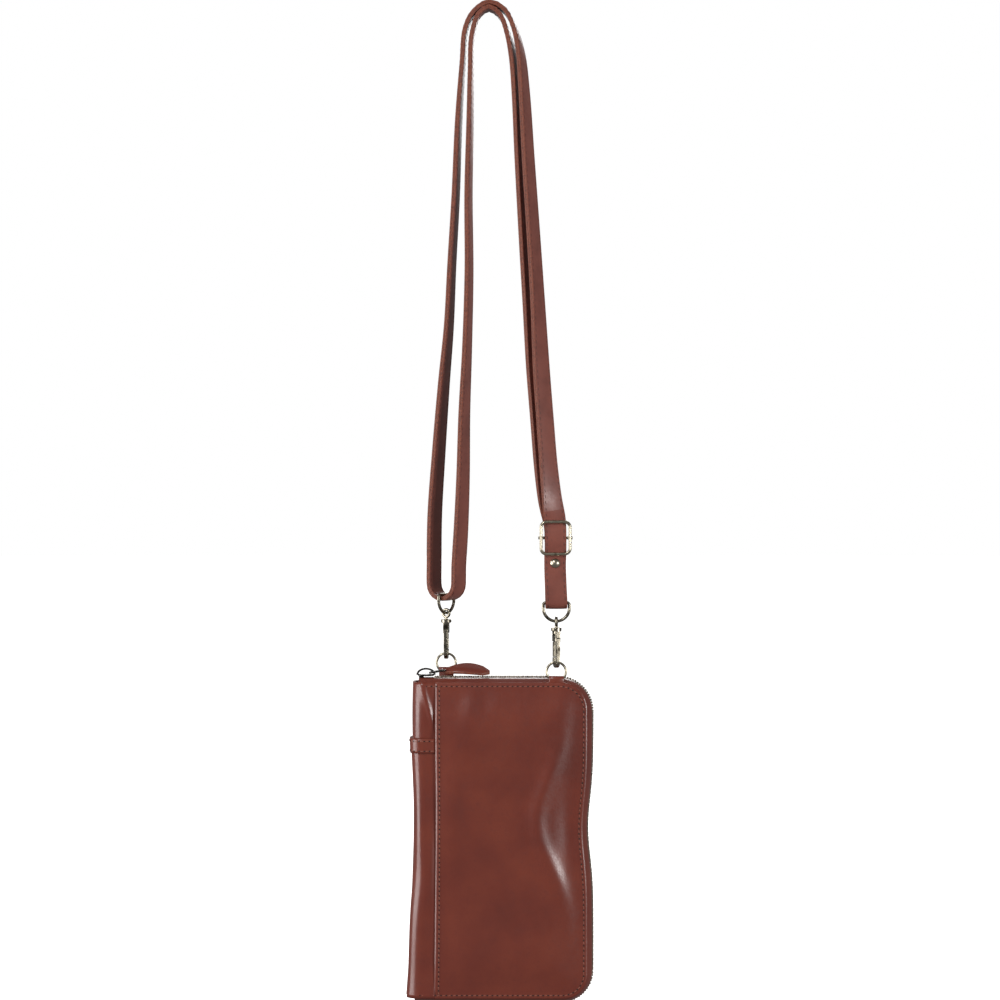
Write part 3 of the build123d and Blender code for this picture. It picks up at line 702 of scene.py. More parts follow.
# ---------------------------------------------------------------- the covers
@dataclass
class Covers:
    """The front and back covers: crowned panels with a sewn edge."""

    shape: Shape
    finishes: Finishes
    thickness: float = 1.4 * MM
    margin: float = 1.1 * MM  # how far the turned edge stands beyond the core
    crown: float = 2.4 * MM
    step: float = 1.5 * MM
    row: float = 2.3 * MM  # stitches, in from the edge
    edge_roll: float = 15 * MM  # how far in the crown rises from the edge
    seam_roll: float = 14 * MM
    pucker: float = 2.9 * MM

    def outline(self) -> Outline:
        """The front cover's outline, with its turned edge."""
        s, m = self.shape, self.margin
        side = m * 0.4
        return Outline(s.left, s.right + side, s.bottom - side, s.top + m, s.top_radius, s.bottom_radius)

    def relief(self, point: Vector) -> float:
        """How far the front cover stands proud of its core at a point as cut.

        Args:
            point: a place on the flat cover.

        Returns:
            Metres towards the front.
        """
        s = self.shape
        outline = self.outline()
        down = (s.top - point.z) / s.height
        across = (point.x - s.left) / (s.right - s.left)
        edge = outline.inside(point)
        seam = point.x - s.left
        rise = 1 - hump(edge, 0, self.edge_roll)
        rise *= 0.45 + 0.55 * (1 - hump(seam, 0, self.seam_roll))
        out = self.crown * rise
        # the soft ridge that runs down beside the pinched right edge
        ridge = 0.87 - 0.20 * hump(down, 0.44, 0.19) + 0.05 * (down - 0.4)
        out += 1.9 * MM * hump(down, 0.42, 0.28) * hump(across, ridge, 0.06)
        out += sum(bulge.at(down, across) for bulge in BULGES)
        # short gathers below the top seam and one slow wave down the panel
        out += 0.35 * MM * hump(down, 0.07, 0.05) * math.sin(across * 34) * hump(across, 0.25, 0.22)
        out += 0.5 * MM * math.sin(down * 7.5 + across * 2.1) * rise
        # small puckers where the sewn edge is bent
        pucker = math.sin(point.z / self.pucker * math.tau)
        out += 0.108 * MM * hump(edge, 1.2 * MM, 2.5 * MM) * pucker
        return out

    def surface(self, x: float, z: float) -> Vector:
        """A point on the front cover's face, worn, from its place as cut."""
        flat = Vector((x, 0, z))
        worn = self.shape.slouch(flat)
        return Vector((worn.x, self.shape.front - self.relief(flat), worn.z))

    def front(self) -> Piece:
        """Builds the front cover."""
        bm = bmesh.new()
        self.outline().grid(bm, self.step)
        bent(bm, lambda co: self.surface(co.x, co.z))
        turn_faces(bm, -1)
        piece = leather_sheet("front_cover_panel", bm, self.finishes, self.thickness)
        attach(piece, "purse_front")
        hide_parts("front_cover")
        return piece

    def stitches(self) -> Piece:
        """Sews the front cover along its rim and along the spine seam."""
        bm = bmesh.new()
        outline = self.outline()
        shape = Shape()
        shape.left, shape.right = outline.left, outline.right
        shape.top, shape.bottom = outline.top, outline.bottom
        rim = Rim(shape, outline.left - 8 * MM, self.row)
        lift = 0.16 * MM

        def on_face(point: Vector, run: Vector) -> Matrix:
            """The place of a stitch on the worn face."""
            x = max(point.x, self.shape.left)
            here = self.surface(x, point.z) + Vector((0, -lift, 0))
            here.x += point.x - x
            ahead = point + run * 0.5 * MM
            there = self.surface(max(ahead.x, self.shape.left), ahead.z)
            there += Vector((min(0.0, ahead.x - x), -lift, 0))
            way = there - here
            way = way.normalized() if way.length > 1e-6 else run
            out = Vector((0, -1, 0))
            side = out.cross(way).normalized()
            return along_axes(here, side, way.cross(side).normalized() * -1, way)

        Stitch().row(bm, lambda d: on_face(*rim.at(d)), rim.length)
        x = self.shape.left + self.row
        top, length = outline.top - self.row, outline.top - outline.bottom - 2 * self.row
        down = Vector((0, 0, -1))
        Stitch(pitch=2.7 * MM).row(bm, lambda d: on_face(Vector((x, 0, top - d)), down), length)
        piece = publish("front_cover_stitches", bm, [self.finishes.thread, self.finishes.needle_hole_shade])
        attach(piece, "purse_front")
        return piece

    def back(self) -> Piece:
        """Builds the back cover, which the phone pocket mostly hides."""
        low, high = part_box("back_cover")
        bm = bmesh.new()
        m = self.margin * 0.4
        outline = Outline(low[0], high[0] + m, low[2] - m, high[2] + self.margin, self.shape.top_radius,
                          self.shape.bottom_radius)
        outline.grid(bm, 2 * self.step)

        def worn(co: Vector) -> Vector:
            """The back cover's place, worn."""
            place = self.shape.slouch(co)
            place.y = high[1] - 0.3 * MM * hump(outline.inside(co), self.row, 0.8 * MM)
            return place

        bent(bm, worn)
        turn_faces(bm, 1)
        piece = leather_sheet("back_cover_panel", bm, self.finishes, self.thickness)
        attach(piece, "purse_back")
        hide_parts("back_cover")
        return piece


# ---------------------------------------------------------------- the zip and its gussets
@dataclass
class ZipEdge:
    """The gussets, tapes and teeth that close the purse round three sides."""

    shape: Shape
    finishes: Finishes
    proud: float = 3.6 * MM
    pitch: float = 2.6 * MM
    first_tooth: float = 9.4 * MM
    gusset: tuple = (
        (-11.0, -1.4), (-10.2, -0.3), (-9.0, 0.75), (-7.2, 1.95), (-5.6, 2.85), (-4.5, 3.25), (-4.0, 3.1),
        (-4.1, 2.4), (-5.6, 1.75), (-7.2, 0.8), (-8.9, -0.4), (-9.9, -1.5),
    )
    tape: tuple = (
        (-7.6, -0.1), (-4.2, 1.95), (-1.7, 3.0), (-1.0, 3.0), (-1.0, 2.55), (-1.7, 2.5), (-4.2, 1.5),
        (-7.6, -0.5),
    )

    def hinge_blend(self, piece: Piece) -> None:
        """Bakes a back strip's place into its mesh."""
        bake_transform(piece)

    def strip(
        self, name: str, node: str, profile: Sequence, side: int, material: Material, slot: str
    ) -> None:
        """Builds one strip along the rim.

        Args:
            name: the piece's name.
            node: the node that it stands for.
            profile: its section in millimetres, on the front.
            side: -1 for the front, 1 for the back.
            material: its finish.
            slot: not used.
        """
        rim = Rim(self.shape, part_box(node)[0][0])
        bm = bmesh.new()
        sweep(bm, [(-side * u * MM, v * MM) for u, v in profile], rim.stations(2 * MM))
        bent(bm, self.shape.slouch)
        piece = publish(name, bm, [material], 50)
        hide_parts(node)
        if side < 0:
            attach(piece, "purse_front")
        else:
            self.hinge_blend(piece)

    def teeth(self, name: str, node: str, side: int) -> None:
        """Builds one row of teeth.

        Args:
            name: the piece's name.
            node: the node that it stands for.
            side: -1 for the front, 1 for the back.
        """
        rim = Rim(self.shape, self.shape.spine_left + 3.45 * MM)
        bm = bmesh.new()
        begin = self.first_tooth + (self.pitch / 2 if side > 0 else 0)
        size = Matrix.Diagonal((2.3 * MM, 1.9 * MM, 1.2 * MM, 1))
        for n in range(int((rim.length - begin - 4 * MM) / self.pitch)):
            place = rim.station(begin + n * self.pitch, side * 0.55 * MM, self.proud - 0.35 * MM)
            verts = bmesh.ops.create_cube(bm, size=1, matrix=place @ size)["verts"]
            edges = list({e for v in verts for e in v.link_edges})
            bmesh.ops.bevel(
                bm, geom=edges, offset=0.3 * MM, segments=1, affect="EDGES", profile=0.5, material=-1
            )
        bent(bm, self.shape.slouch)
        piece = publish(name, bm, [self.finishes.teeth], 30)
        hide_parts(node)
        if side < 0:
            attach(piece, "purse_front")
        else:
            self.hinge_blend(piece)

    def build(self) -> None:
        """Builds both sides."""
        for word, side in (("front", -1), ("back", 1)):
            leather, cloth = self.finishes.leather, self.finishes.tape
            self.strip(
                f"{word}_gusset_leather", f"{word}_gusset", self.gusset, side, leather, "purse_leather"
            )
            self.strip(f"{word}_tape_cloth", f"{word}_zip_tape", self.tape, side, cloth, "zip_tape")
            self.teeth(f"{word}_teeth", f"{word}_zip_teeth", side)


# ---------------------------------------------------------------- the spine and the phone pocket
@dataclass
class Spine:
    """The soft leather round the left side, and the pocket leather that wraps over it."""

    shape: Shape
    finishes: Finishes
    rounding: float = 7.0 * MM
    core: float = 8 * MM  # folds push away from a line this far inside the leather
    fade: float = 2.5 * MM  # how far from the seam the folds die away

    def push(self, flat: Vector, proud: float) -> float:
        """How far the worn leather stands outside its section.

        Args:
            flat: a place on the leather as cut.
            proud: how far the whole sheet stands out.

        Returns:
            Metres outwards.
        """
        out = (self.folds(flat) if flat.y < 2 * MM else 0.0) + proud
        return out * min(1.0, max(0.0, (self.shape.left - flat.x) / self.fade))

    def section(
        self, reach: float, left: float, front_end: float, back_end: float, count: int = 7
    ) -> list[Vector]:
        """The U of a wrap, from the end of its front leg to the end of its back leg.

        Args:
            reach: half of its depth.
            left: its leftmost place.
            front_end: where the front leg ends.
            back_end: where the back leg ends.
            count: points round each corner.

        Returns:
            Points in the plane z = 0.
        """
        r = self.rounding
        line = [Vector((front_end + (left + r - front_end) * n / 8, -reach, 0)) for n in range(8)]
        for n in range(count + 1):
            a = math.pi / 2 * n / count
            line.append(Vector((left + r - r * math.sin(a), -reach + r - r * math.cos(a), 0)))
        flat = 6
        for n in range(1, flat):
            line.append(Vector((left, -reach + r + (2 * reach - 2 * r) * n / flat, 0)))
        for n in range(count + 1):
            a = math.pi / 2 * (1 - n / count)
            line.append(Vector((left + r - r * math.sin(a), reach - r + r * math.cos(a), 0)))
        line += [Vector((left + r + (back_end - left - r) * n / 5, reach, 0)) for n in range(1, 6)]
        return line

    def folds(self, point: Vector) -> float:
        """How far the spine leather stands out at a point, for its slanting folds."""
        s = self.shape
        down = (s.top - point.z) / s.height
        across = (point.x - s.spine_left) / (s.left - s.spine_left)
        crest = 0.42 + 0.62 * (down / 0.17)
        out = 1.0 * MM * hump(across, crest, 0.11) * (1 if down < 0.16 else hump(down, 0.16, 0.03))
        out += 0.9 * MM * hump(down, 0.45, 0.13) * hump(across, 0.25, 0.3)
        out -= 0.9 * MM * hump(down, 0.62, 0.1) * hump(across, 0.15, 0.35)
        out += 0.5 * MM * math.sin(down * 11 + across * 2)
        return out

    def wrap(
        self, name: str, line: list[Vector], low: float, high: float, step: float, thickness: float,
        proud: float = 0.0,
    ) -> Piece:
        """Draws a wrap up the spine as a bent sheet with a wall.

        Args:
            name: the piece's name.
            line: its section.
            low: its lower end.
            high: its upper end.
            step: the distance between its sections.
            thickness: the leather's thickness.
            proud: how far the whole sheet stands outside its section.

        Returns:
            The piece, which rides on nothing yet.
        """
        bm = bmesh.new()
        verts = [bm.verts.new(Vector((p.x, p.y, high))) for p in line]
        edges = [bm.edges.new(pair) for pair in zip(verts, verts[1:])]
        count = max(2, round((high - low) / step))
        for _ in range(count):
            grown = bmesh.ops.extrude_edge_only(bm, edges=edges)["geom"]
            new = [g for g in grown if isinstance(g, Vert)]
            bmesh.ops.translate(bm, vec=Vector((0, 0, (low - high) / count)), verts=new)
            fresh = set(new)
            edges = [g for g in grown if isinstance(g, Edge) and set(g.verts) <= fresh]
        bmesh.ops.recalc_face_normals(bm, faces=bm.faces)
        middle = self.shape.spine_left + self.core
        face = min(bm.faces, key=lambda f: f.calc_center_median().x)
        if face.normal.x > 0:
            bmesh.ops.reverse_faces(bm, faces=bm.faces)

        def worn(co: Vector) -> Vector:
            """The sheet's place, folded and slouched."""
            away = Vector((min(0.0, co.x - middle), co.y, 0))
            return self.shape.slouch(co) + away.normalized() * self.push(co, proud)

        bent(bm, worn)
        return leather_sheet(name, bm, self.finishes, thickness)

    def build(self) -> None:
        """Builds the spine, its wrap and the band along the wrap's hem."""
        s = self.shape
        back_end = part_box("spine_wrap")[1][0]
        line = self.section(-s.front - 0.35 * MM, s.spine_left, s.left + 1.5 * MM, back_end)
        spine = self.wrap("spine_leather", line, s.bottom, s.top + 1.0 * MM, 2 * MM, 1.2 * MM)
        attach(spine, "purse_front")
        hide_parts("spine")
        low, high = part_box("spine_wrap")
        line = self.section(-s.front + 0.2 * MM, s.spine_left - 0.6 * MM, s.left + 0.4 * MM, high[0])
        wrap = self.wrap("spine_wrap_leather", line, low[2], high[2], 2 * MM, 1.0 * MM, 0.35 * MM)
        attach(wrap, "purse_front")
        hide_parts("spine_wrap")
        low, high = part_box("spine_wrap_hem")
        line = self.section(-s.front + 0.7 * MM, s.spine_left - 1.2 * MM, s.left + 0.2 * MM, high[0])
        hem = self.wrap("spine_wrap_band", line, low[2], high[2] + 0.5 * MM, 1.4 * MM, 1.0 * MM, 0.55 * MM)
        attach(hem, "purse_front")
        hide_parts("spine_wrap_hem")
        self.band_stitches(line, low[2], high[2])

    def band_stitches(self, line: list[Vector], low: float, high: float) -> None:
        """Sews the band's lower and upper edges.

        Args:
            line: the band's section.
            low: its lower edge.
            high: its upper edge.
        """
        lengths = [0.0]
        for p, q in zip(line, line[1:]):
            lengths.append(lengths[-1] + (q - p).length)

        def at(distance: float, z: float) -> Matrix:
            """The place of a stitch round the band."""
            n = max(i for i, done in enumerate(lengths) if done <= distance)
            n = min(n, len(line) - 2)
            p, q = line[n], line[n + 1]
            way = (q - p).normalized()
            here = p + way * (distance - lengths[n])
            flat = Vector((here.x, here.y, z))
            out = Vector((-way.y, way.x, 0))
            if out.dot(Vector((here.x - self.shape.spine_left - self.core, here.y, 0))) < 0:
                out = -out
            moved = self.shape.slouch(flat) + out * self.push(flat, 0.62 * MM)
            return along_axes(moved, Vector((0, 0, 1)), out, Vector((0, 0, 1)).cross(out))

        bm = bmesh.new()
        for z in (low + 1.3 * MM, high - 1.0 * MM):
            Stitch(slant=0).row(bm, lambda d, z=z: at(d + 0.6 * MM, z), lengths[-1] - 1.2 * MM)
        piece = publish("spine_wrap_band_stitches", bm, [self.finishes.thread, self.finishes.needle_hole_shade])
        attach(piece, "purse_front")


@dataclass
class PhonePocket:
    """The slip pocket across the back, a soft tray with a sewn hem along its mouth."""

    shape: Shape
    finishes: Finishes
    wall: float = 1.1 * MM
    shoulder: float = 5.5 * MM

    def outline(self) -> Outline:
        """The pocket's outline."""
        low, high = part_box("phone_pocket")
        return Outline(low[0], high[0], low[2], high[2], 0.0, self.shape.bottom_radius)

    def surface(self, flat: Vector, proud: float = 0.0) -> Vector:
        """A point on the pocket's back face, worn, from its place as cut."""
        low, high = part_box("phone_pocket")
        outline = self.outline()
        # the mouth stays open, so the top edge is not an edge for the shoulder
        raised = replace(outline, top=outline.top + 40 * MM)
        edge = min(raised.inside(flat), flat.x - low[0])
        t = min(1.0, edge / self.shoulder)
        round_over = math.sqrt(max(0.0, 1 - (1 - t) ** 2))
        depth = high[1] - self.shape.back - 0.2 * MM
        across = (flat.x - low[0]) / (high[0] - low[0])
        down = (high[2] - flat.z) / (high[2] - low[2])
        fullness = 0.35 + 0.65 * math.sin(math.pi * min(1, down * 1.05))
        belly = 1.1 * MM * math.sin(math.pi * across) * fullness
        crease = 0.45 * MM * math.sin(across * 5 + down * 8) * t
        y = self.shape.back + 0.2 * MM + depth * round_over + (belly + crease) * t + proud
        worn = self.shape.slouch(flat)
        return Vector((worn.x, y, worn.z))

    def sheet(self, name: str, outline: Outline, step: float, wall: float, proud: float) -> Piece:
        """Builds a sheet that lies on the pocket's face.

        Args:
            name: the piece's name.
            outline: its outline as cut.
            step: the size of its faces.
            wall: its thickness.
            proud: how far it stands off the pocket's face.

        Returns:
            The piece.
        """
        bm = bmesh.new()
        outline.grid(bm, step)
        bent(bm, lambda co: self.surface(co, proud))
        turn_faces(bm, 1)
        piece = leather_sheet(name, bm, self.finishes, wall)
        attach(piece, "purse_back")
        return piece

    def build(self) -> None:
        """Builds the pocket, its hem and their stitches."""
        outline = self.outline()
        pocket = self.sheet("phone_pocket_leather", outline, 1.7 * MM, self.wall, 0.0)
        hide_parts("phone_pocket")
        low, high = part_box("phone_pocket_hem")
        strip = Outline(low[0], high[0], low[2], high[2] + 0.6 * MM, 0.0, 0.0)
        hem = self.sheet("phone_pocket_band", strip, 1.6 * MM, 0.9 * MM, 0.75 * MM)
        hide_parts("phone_pocket_hem")
        bm = bmesh.new()

        def at(x: float, z: float, run: Vector, proud: float) -> Matrix:
            """The place of a stitch on the pocket."""
            here = self.surface(Vector((x, 0, z)), proud)
            there = self.surface(Vector((x, 0, z)) + run * MM, proud)
            way = (there - here).normalized()
            across = Vector((0, 1, 0)).cross(way).normalized()
            return along_axes(here, across, way.cross(across).normalized(), way)

        left, right = low[0] + 1 * MM, high[0] - 1 * MM
        for z in (low[2] + 1.3 * MM, high[2] - 1.0 * MM):
            Stitch(slant=0).row(bm, lambda d, z=z: at(left + d, z, Vector((1, 0, 0)), 0.8 * MM), right - left)
        inner = outline.right - self.shoulder - 1 * MM
        length = outline.top - outline.bottom - 20 * MM
        Stitch().row(bm, lambda d: at(inner, high[2] - 9 * MM - d, Vector((0, 0, -1)), 0.05 * MM), length)
        piece = publish("phone_pocket_stitches", bm, [self.finishes.thread, self.finishes.needle_hole_shade])
        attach(piece, "purse_back")


# ---------------------------------------------------------------- the strap
StrapPoint = tuple[float, float, float, float, float]

STRAP_WIDTH = 12.4
STRAP_THICKNESS = 2.6
SKIVED = 1.4  # the thinned end round the buckle's bar
SPLIT_HEIGHT = -290  # where the tail and the buckle's end part from the long run
# the lengths that are baked in place instead of riding on the strap; the rings and heights listed with them
# are not read
BENDS = {"strap_run": ("left_d_ring", -292, -336), "strap_tail": ("right_d_ring", -324, -338)}
TAIL_FRONT = -11.35
TAIL_BACK = TAIL_FRONT + STRAP_THICKNESS + 0.05
FRONT_RUN = (
    (37.9, TAIL_FRONT, -319, 0), (38.1, -11.7, -313.5, 0), (38.1, -13.0, -304.5, 0), (37.9, -11.5, -295.5, 1),
    (36.4, -11.3, -285, 24), (34.3, -10.5, -265, 39), (32.0, -9.3, -235, 44), (30.0, -8.2, -207, 47),
    (28.1, -7.0, -171, 56), (25.6, -5.2, -131, 60), (22.6, -3.4, -86, 63), (20.2, -1.8, -46, 68),
    (18.2, -1.0, -25, 74), (14.6, -0.4, -10.4, 82), (8.9, -0.1, -0.2, 88), (0.0, 0.0, 4.1, 90),
    (-8.9, 0.1, -1.4, 90), (-13.6, 0.3, -11.0, 88), (-15.3, 0.9, -31, 86), (-17.6, 2.4, -64, 82),
    (-19.3, 4.3, -106, 79), (-21.6, 6.8, -146, 77), (-23.4, 9.1, -182, 74), (-26.3, 11.0, -215, 68),
    (-29.4, 12.6, -256, 62), (-31.7, 13.9, -292, 58), (-32.1, 14.5, -322, 57),
)
BACK_RUN = (
    (-17.6, 4.8, -322, 57), (-16.3, 4.2, -300, 58), (-15.1, 4.0, -270, 62), (-14.3, 3.8, -232, 68),
    (-12.7, 3.2, -194, 74), (-11.6, 2.6, -150, 77), (-11.9, 1.9, -106, 79), (-11.0, 1.0, -64, 82),
    (-10.6, 0.4, -35, 86), (-10.0, 0.1, -15.5, 89), (-6.2, 0.0, -2.9, 90), (0.0, 0.0, 1.3, 90),
    (6.4, -0.1, -3.1, 88), (10.7, -0.1, -13.5, 83), (14.2, 0.0, -28, 74), (16.3, -0.1, -48, 68),
    (18.4, -1.2, -86, 63), (21.0, -2.5, -131, 60), (23.6, -4.0, -171, 56), (26.2, -4.8, -207, 47),
    (28.6, -5.6, -235, 44), (31.4, -6.6, -265, 36), (34.4, -7.3, -284, 20), (37.5, -6.9, -296, 4),
    (38.0, -6.8, -300.5, 0),
)


@dataclass
class Strap:
    """The shoulder strap: two layers of leather glued back to back and sewn along both edges."""

    finishes: Finishes
    right_bar: Point = (38.6, -10.0, -341.6)
    left_bar: Point = (-24.9, 9.5, -337.6)
    buckle_bar: Point = (38.1, -9.1, -304.5)
    loop: float = 8.6
    wire: float = 1.05  # a bar's radius with its clearance
    step: float = 4.0
    seam: float = 4.85  # stitches, out from the middle

    def turn(
        self, centre: Point, radius: float, yaw: float, thickness: float, count: int
    ) -> list[StrapPoint]:
        """Half a turn under a bar, from the back of it to the front."""
        points = []
        for n in range(count + 1):
            angle = math.pi * (n / count - 1)
            out = radius * math.cos(angle)
            x = centre[0] + out * math.sin(math.radians(yaw))
            y = centre[1] - out * math.cos(math.radians(yaw))
            points.append((x, y, centre[2] + radius * math.sin(angle), yaw, thickness))
        return points

    def route(self) -> list[StrapPoint]:
        """The centre line's control points: x, y, z, the yaw of the width and the thickness."""
        wrap = self.wire + STRAP_THICKNESS / 2
        x, y, z = self.right_bar
        tail = [
            (37.9, TAIL_BACK, -314.0, 0), (37.9, TAIL_BACK, -322.0, 0), (38.3, y + wrap - 0.3, -333.0, 2),
        ]
        rise = [(38.3, y - wrap + 0.3, -333.0, 2), (37.9, TAIL_FRONT, -322.0, 0)]
        points = [(*p, STRAP_THICKNESS) for p in tail]
        points += self.turn(self.right_bar, wrap, 3, STRAP_THICKNESS, 6)
        points += [(*p, STRAP_THICKNESS) for p in (*rise, *FRONT_RUN)]
        foot = (self.left_bar[0], self.left_bar[1], self.left_bar[2] - wrap + self.loop)
        points += self.turn(foot, self.loop, 57, STRAP_THICKNESS, 10)
        points += [(*p, STRAP_THICKNESS) for p in BACK_RUN]
        points += self.turn(self.buckle_bar, self.wire + SKIVED / 2, 0, SKIVED, 6)
        return [*points, (37.5, -9.45, -296.0, 4, SKIVED), (35.3, -9.25, -287.5, 22, SKIVED)]

    def smooth(self) -> list[StrapPoint]:
        """A centripetal Catmull-Rom curve through every control point."""
        points = self.route()
        before = tuple(2 * p - q for p, q in zip(points[0], points[1]))
        after = tuple(2 * p - q for p, q in zip(points[-1], points[-2]))
        ends = [before, *points, after]
        curve = []

        def between(a: Sequence[float], b: Sequence[float], start: float, end: float, at: float) -> tuple:
            """The point at a value of t on the line that is a at start and b at end."""
            w = (at - start) / (end - start)
            return tuple((1 - w) * p + w * q for p, q in zip(a, b))

        for four in zip(ends, ends[1:], ends[2:], ends[3:]):
            t = [0.0]
            for p, q in zip(four, four[1:]):
                t.append(t[-1] + math.sqrt(math.dist(p[:3], q[:3])))
            steps = max(1, round(math.dist(four[1][:3], four[2][:3]) / self.step))
            for n in range(steps):
                at = t[1] + (t[2] - t[1]) * n / steps
                row = [between(four[i], four[i + 1], t[i], t[i + 1], at) for i in range(3)]
                row = [between(row[i], row[i + 1], t[i], t[i + 2], at) for i in range(2)]
                curve.append(between(row[0], row[1], t[1], t[2], at))
        return [*curve, points[-1]]

    def stations(self) -> list[Matrix]:
        """Sections along the strap: their axes are across, out of the face and along."""
        line = self.smooth()
        places = []
        for i, (x, y, z, yaw, thickness) in enumerate(line):
            before, after = line[max(i - 1, 0)], line[min(i + 1, len(line) - 1)]
            run = (Vector(after[:3]) - Vector(before[:3])).normalized()
            width = Vector((math.cos(math.radians(yaw)), math.sin(math.radians(yaw)), 0))
            width = (width - run * width.dot(run)).normalized()
            scale = Matrix.Diagonal((1, thickness / STRAP_THICKNESS, 1, 1))
            places.append(along_axes(Vector((x, y, z)) * MM, width, run.cross(width), run) @ scale)
        return places

    def profile(self) -> Profile:
        """Half-round edges with the glue line between the two layers."""
        w, t = STRAP_WIDTH / 2 * MM, STRAP_THICKNESS / 2 * MM
        corner = [(w, 0.16 * t), (w, 0.62 * t), (w - 0.28 * MM, 0.96 * t)]
        top = [(self.seam * MM, 0.97 * t), (3.6 * MM, 1.04 * t), (0, 1.06 * t)]
        quarter = [(w - 0.13 * MM, 0.0), *corner, *top]
        left = [(-u, v) for u, v in reversed(quarter[:-1])]
        upper = quarter + left
        lower = [(u, -v) for u, v in reversed(upper[1:-1])]
        return upper + lower

    def band(self, name: str, stations: list[Matrix]) -> Piece:
        """Draws one length of the strap.

        Args:
            name: the piece's name.
            stations: its sections.

        Returns:
            The piece.
        """
        bm = bmesh.new()
        sweep(bm, self.profile(), stations)
        places = [(m.translation.copy(), m.to_3x3().col[0].normalized()) for m in stations]
        limit = (STRAP_WIDTH / 2 - 0.3) * MM
        for face in bm.faces:
            middle = face.calc_center_median()
            near, width = min(places, key=lambda place: (place[0] - middle).length_squared)
            if abs((middle - near).dot(width)) > limit:
                face.material_index = 1
        return publish(name, bm, [self.finishes.strap_leather, self.finishes.cut_edge], 45)

    def seams(self, name: str, stations: list[Matrix]) -> Piece:
        """Sews one length of the strap along both edges, on both faces.

        Args:
            name: the piece's name.
            stations: its sections.

        Returns:
            The piece.
        """
        lengths = [0.0]
        for p, q in zip(stations, stations[1:]):
            lengths.append(lengths[-1] + (q.translation - p.translation).length)

        def at(distance: float, side: int, face: int) -> Matrix:
            """The place of a stitch."""
            passed = (i for i, done in enumerate(lengths[1:]) if done >= distance)
            n = next(passed, len(stations) - 2)
            t = (distance - lengths[n]) / (lengths[n + 1] - lengths[n])
            here = stations[n].lerp(stations[n + 1], t)
            lift = Matrix.Translation((side * self.seam * MM, face * STRAP_THICKNESS / 2 * MM * 0.97, 0))
            return here @ lift @ Matrix.Diagonal((face, face, 1, 1))

        bm = bmesh.new()
        stitch = Stitch(pitch=3.4 * MM, length=2.5 * MM, width=0.5 * MM, height=0.34 * MM, slant=4)
        for side in (-1, 1):
            for face in (-1, 1):
                stitch.row(bm, lambda d, s=side, f=face: at(d, s, f), lengths[-1], holes=False)
        bmesh.ops.recalc_face_normals(bm, faces=bm.faces)
        return publish(name, bm, [self.finishes.strap_thread])

    def build(self) -> None:
        """Builds the tail, the long run and the end round the buckle's bar."""
        stations = self.stations()
        high = [station.translation.z > SPLIT_HEIGHT * MM for station in stations]
        first = high.index(True)
        last = max(i for i in range(1, len(high)) if high[i - 1] and not high[i])
        cuts = (0, first, last, len(stations) - 1)
        for name, start, end in zip(("strap_tail", "strap_run", "strap_end"), cuts, cuts[1:]):
            part = stations[start : end + 1]
            band = self.band(name, part)
            seams = self.seams(f"{name}_stitches", part)
            for piece in (band, seams):
                if name in BENDS:
                    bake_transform(piece)
                else:
                    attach(piece, "strap")
            if name == "strap_run":
                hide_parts("shoulder_strap")
            LOG.info("%s: %d sections", name, len(part))


# ---------------------------------------------------------------- pull tab and ring tabs
@dataclass
class PullTab:
    """The teardrop leather pull on the zip slider, two layers glued back to back."""

    finishes: Finishes
    half_width: float = 4.6 * MM
    thick: float = 1.7 * MM
    tip: float = 2.2 * MM  # how far the soft tip reaches past its core
    lean: float = 32.0

    def build(self) -> None:
        """Builds the leaf."""
        low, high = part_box("pull_tab")
        length = high[0] - low[0] + self.tip
        count = 28

        def half(t: float) -> float:
            """Half the leaf's width at a fraction of its length."""
            swell = 0.26 + 0.74 * math.sin(math.pi * min(1, t * 0.86 + 0.01)) ** 1.1
            point = min(1.0, math.sqrt(max(0.0, 1 - t) * 7))
            return self.half_width * swell * point

        def place(co: Vector) -> Vector:
            """Leans and arches the flat leaf into its place."""
            t = (co.x - low[0]) / length
            arch = 2.0 * MM * math.sin(math.pi * t) - 0.6 * MM * t
            up = co.z + arch
            cos, sin = math.cos(math.radians(self.lean)), math.sin(math.radians(self.lean))
            y = co.y * cos - up * sin * 0.25 + (low[1] + high[1]) / 2
            return Vector((co.x, y, co.y * sin + up + (low[2] + high[2]) / 2 - 0.8 * MM))

        bm = bmesh.new()
        stations = []
        for n in range(count + 1):
            t = n / count
            wide = max(half(t), 0.5 * MM)
            origin = Vector((low[0] + length * (0.01 + 0.98 * t), 0, 0))
            flat = along_axes(origin, Vector((0, 1, 0)), Vector((0, 0, 1)), Vector((1, 0, 0)))
            stations.append(flat @ Matrix.Diagonal((wide, self.thick / 2, 1, 1)))
        half_profile = [(0.93, -1), (1, -0.6), (0.985, 0), (1, 0.6), (0.93, 1)]
        mirrored = [(-u, v) for u, v in reversed(half_profile)]
        sweep(bm, [mirrored[-1], *half_profile, (0, 1.12), *mirrored[:-1]], stations)
        for face in bm.faces:
            if abs(face.normal.z) < 0.5:
                face.material_index = 1
        bent(bm, place)
        leaf = publish("pull_tab_leaf", bm, [self.finishes.leather, self.finishes.cut_edge], 40)
        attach(leaf, "pull_tab")
        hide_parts("pull_tab")


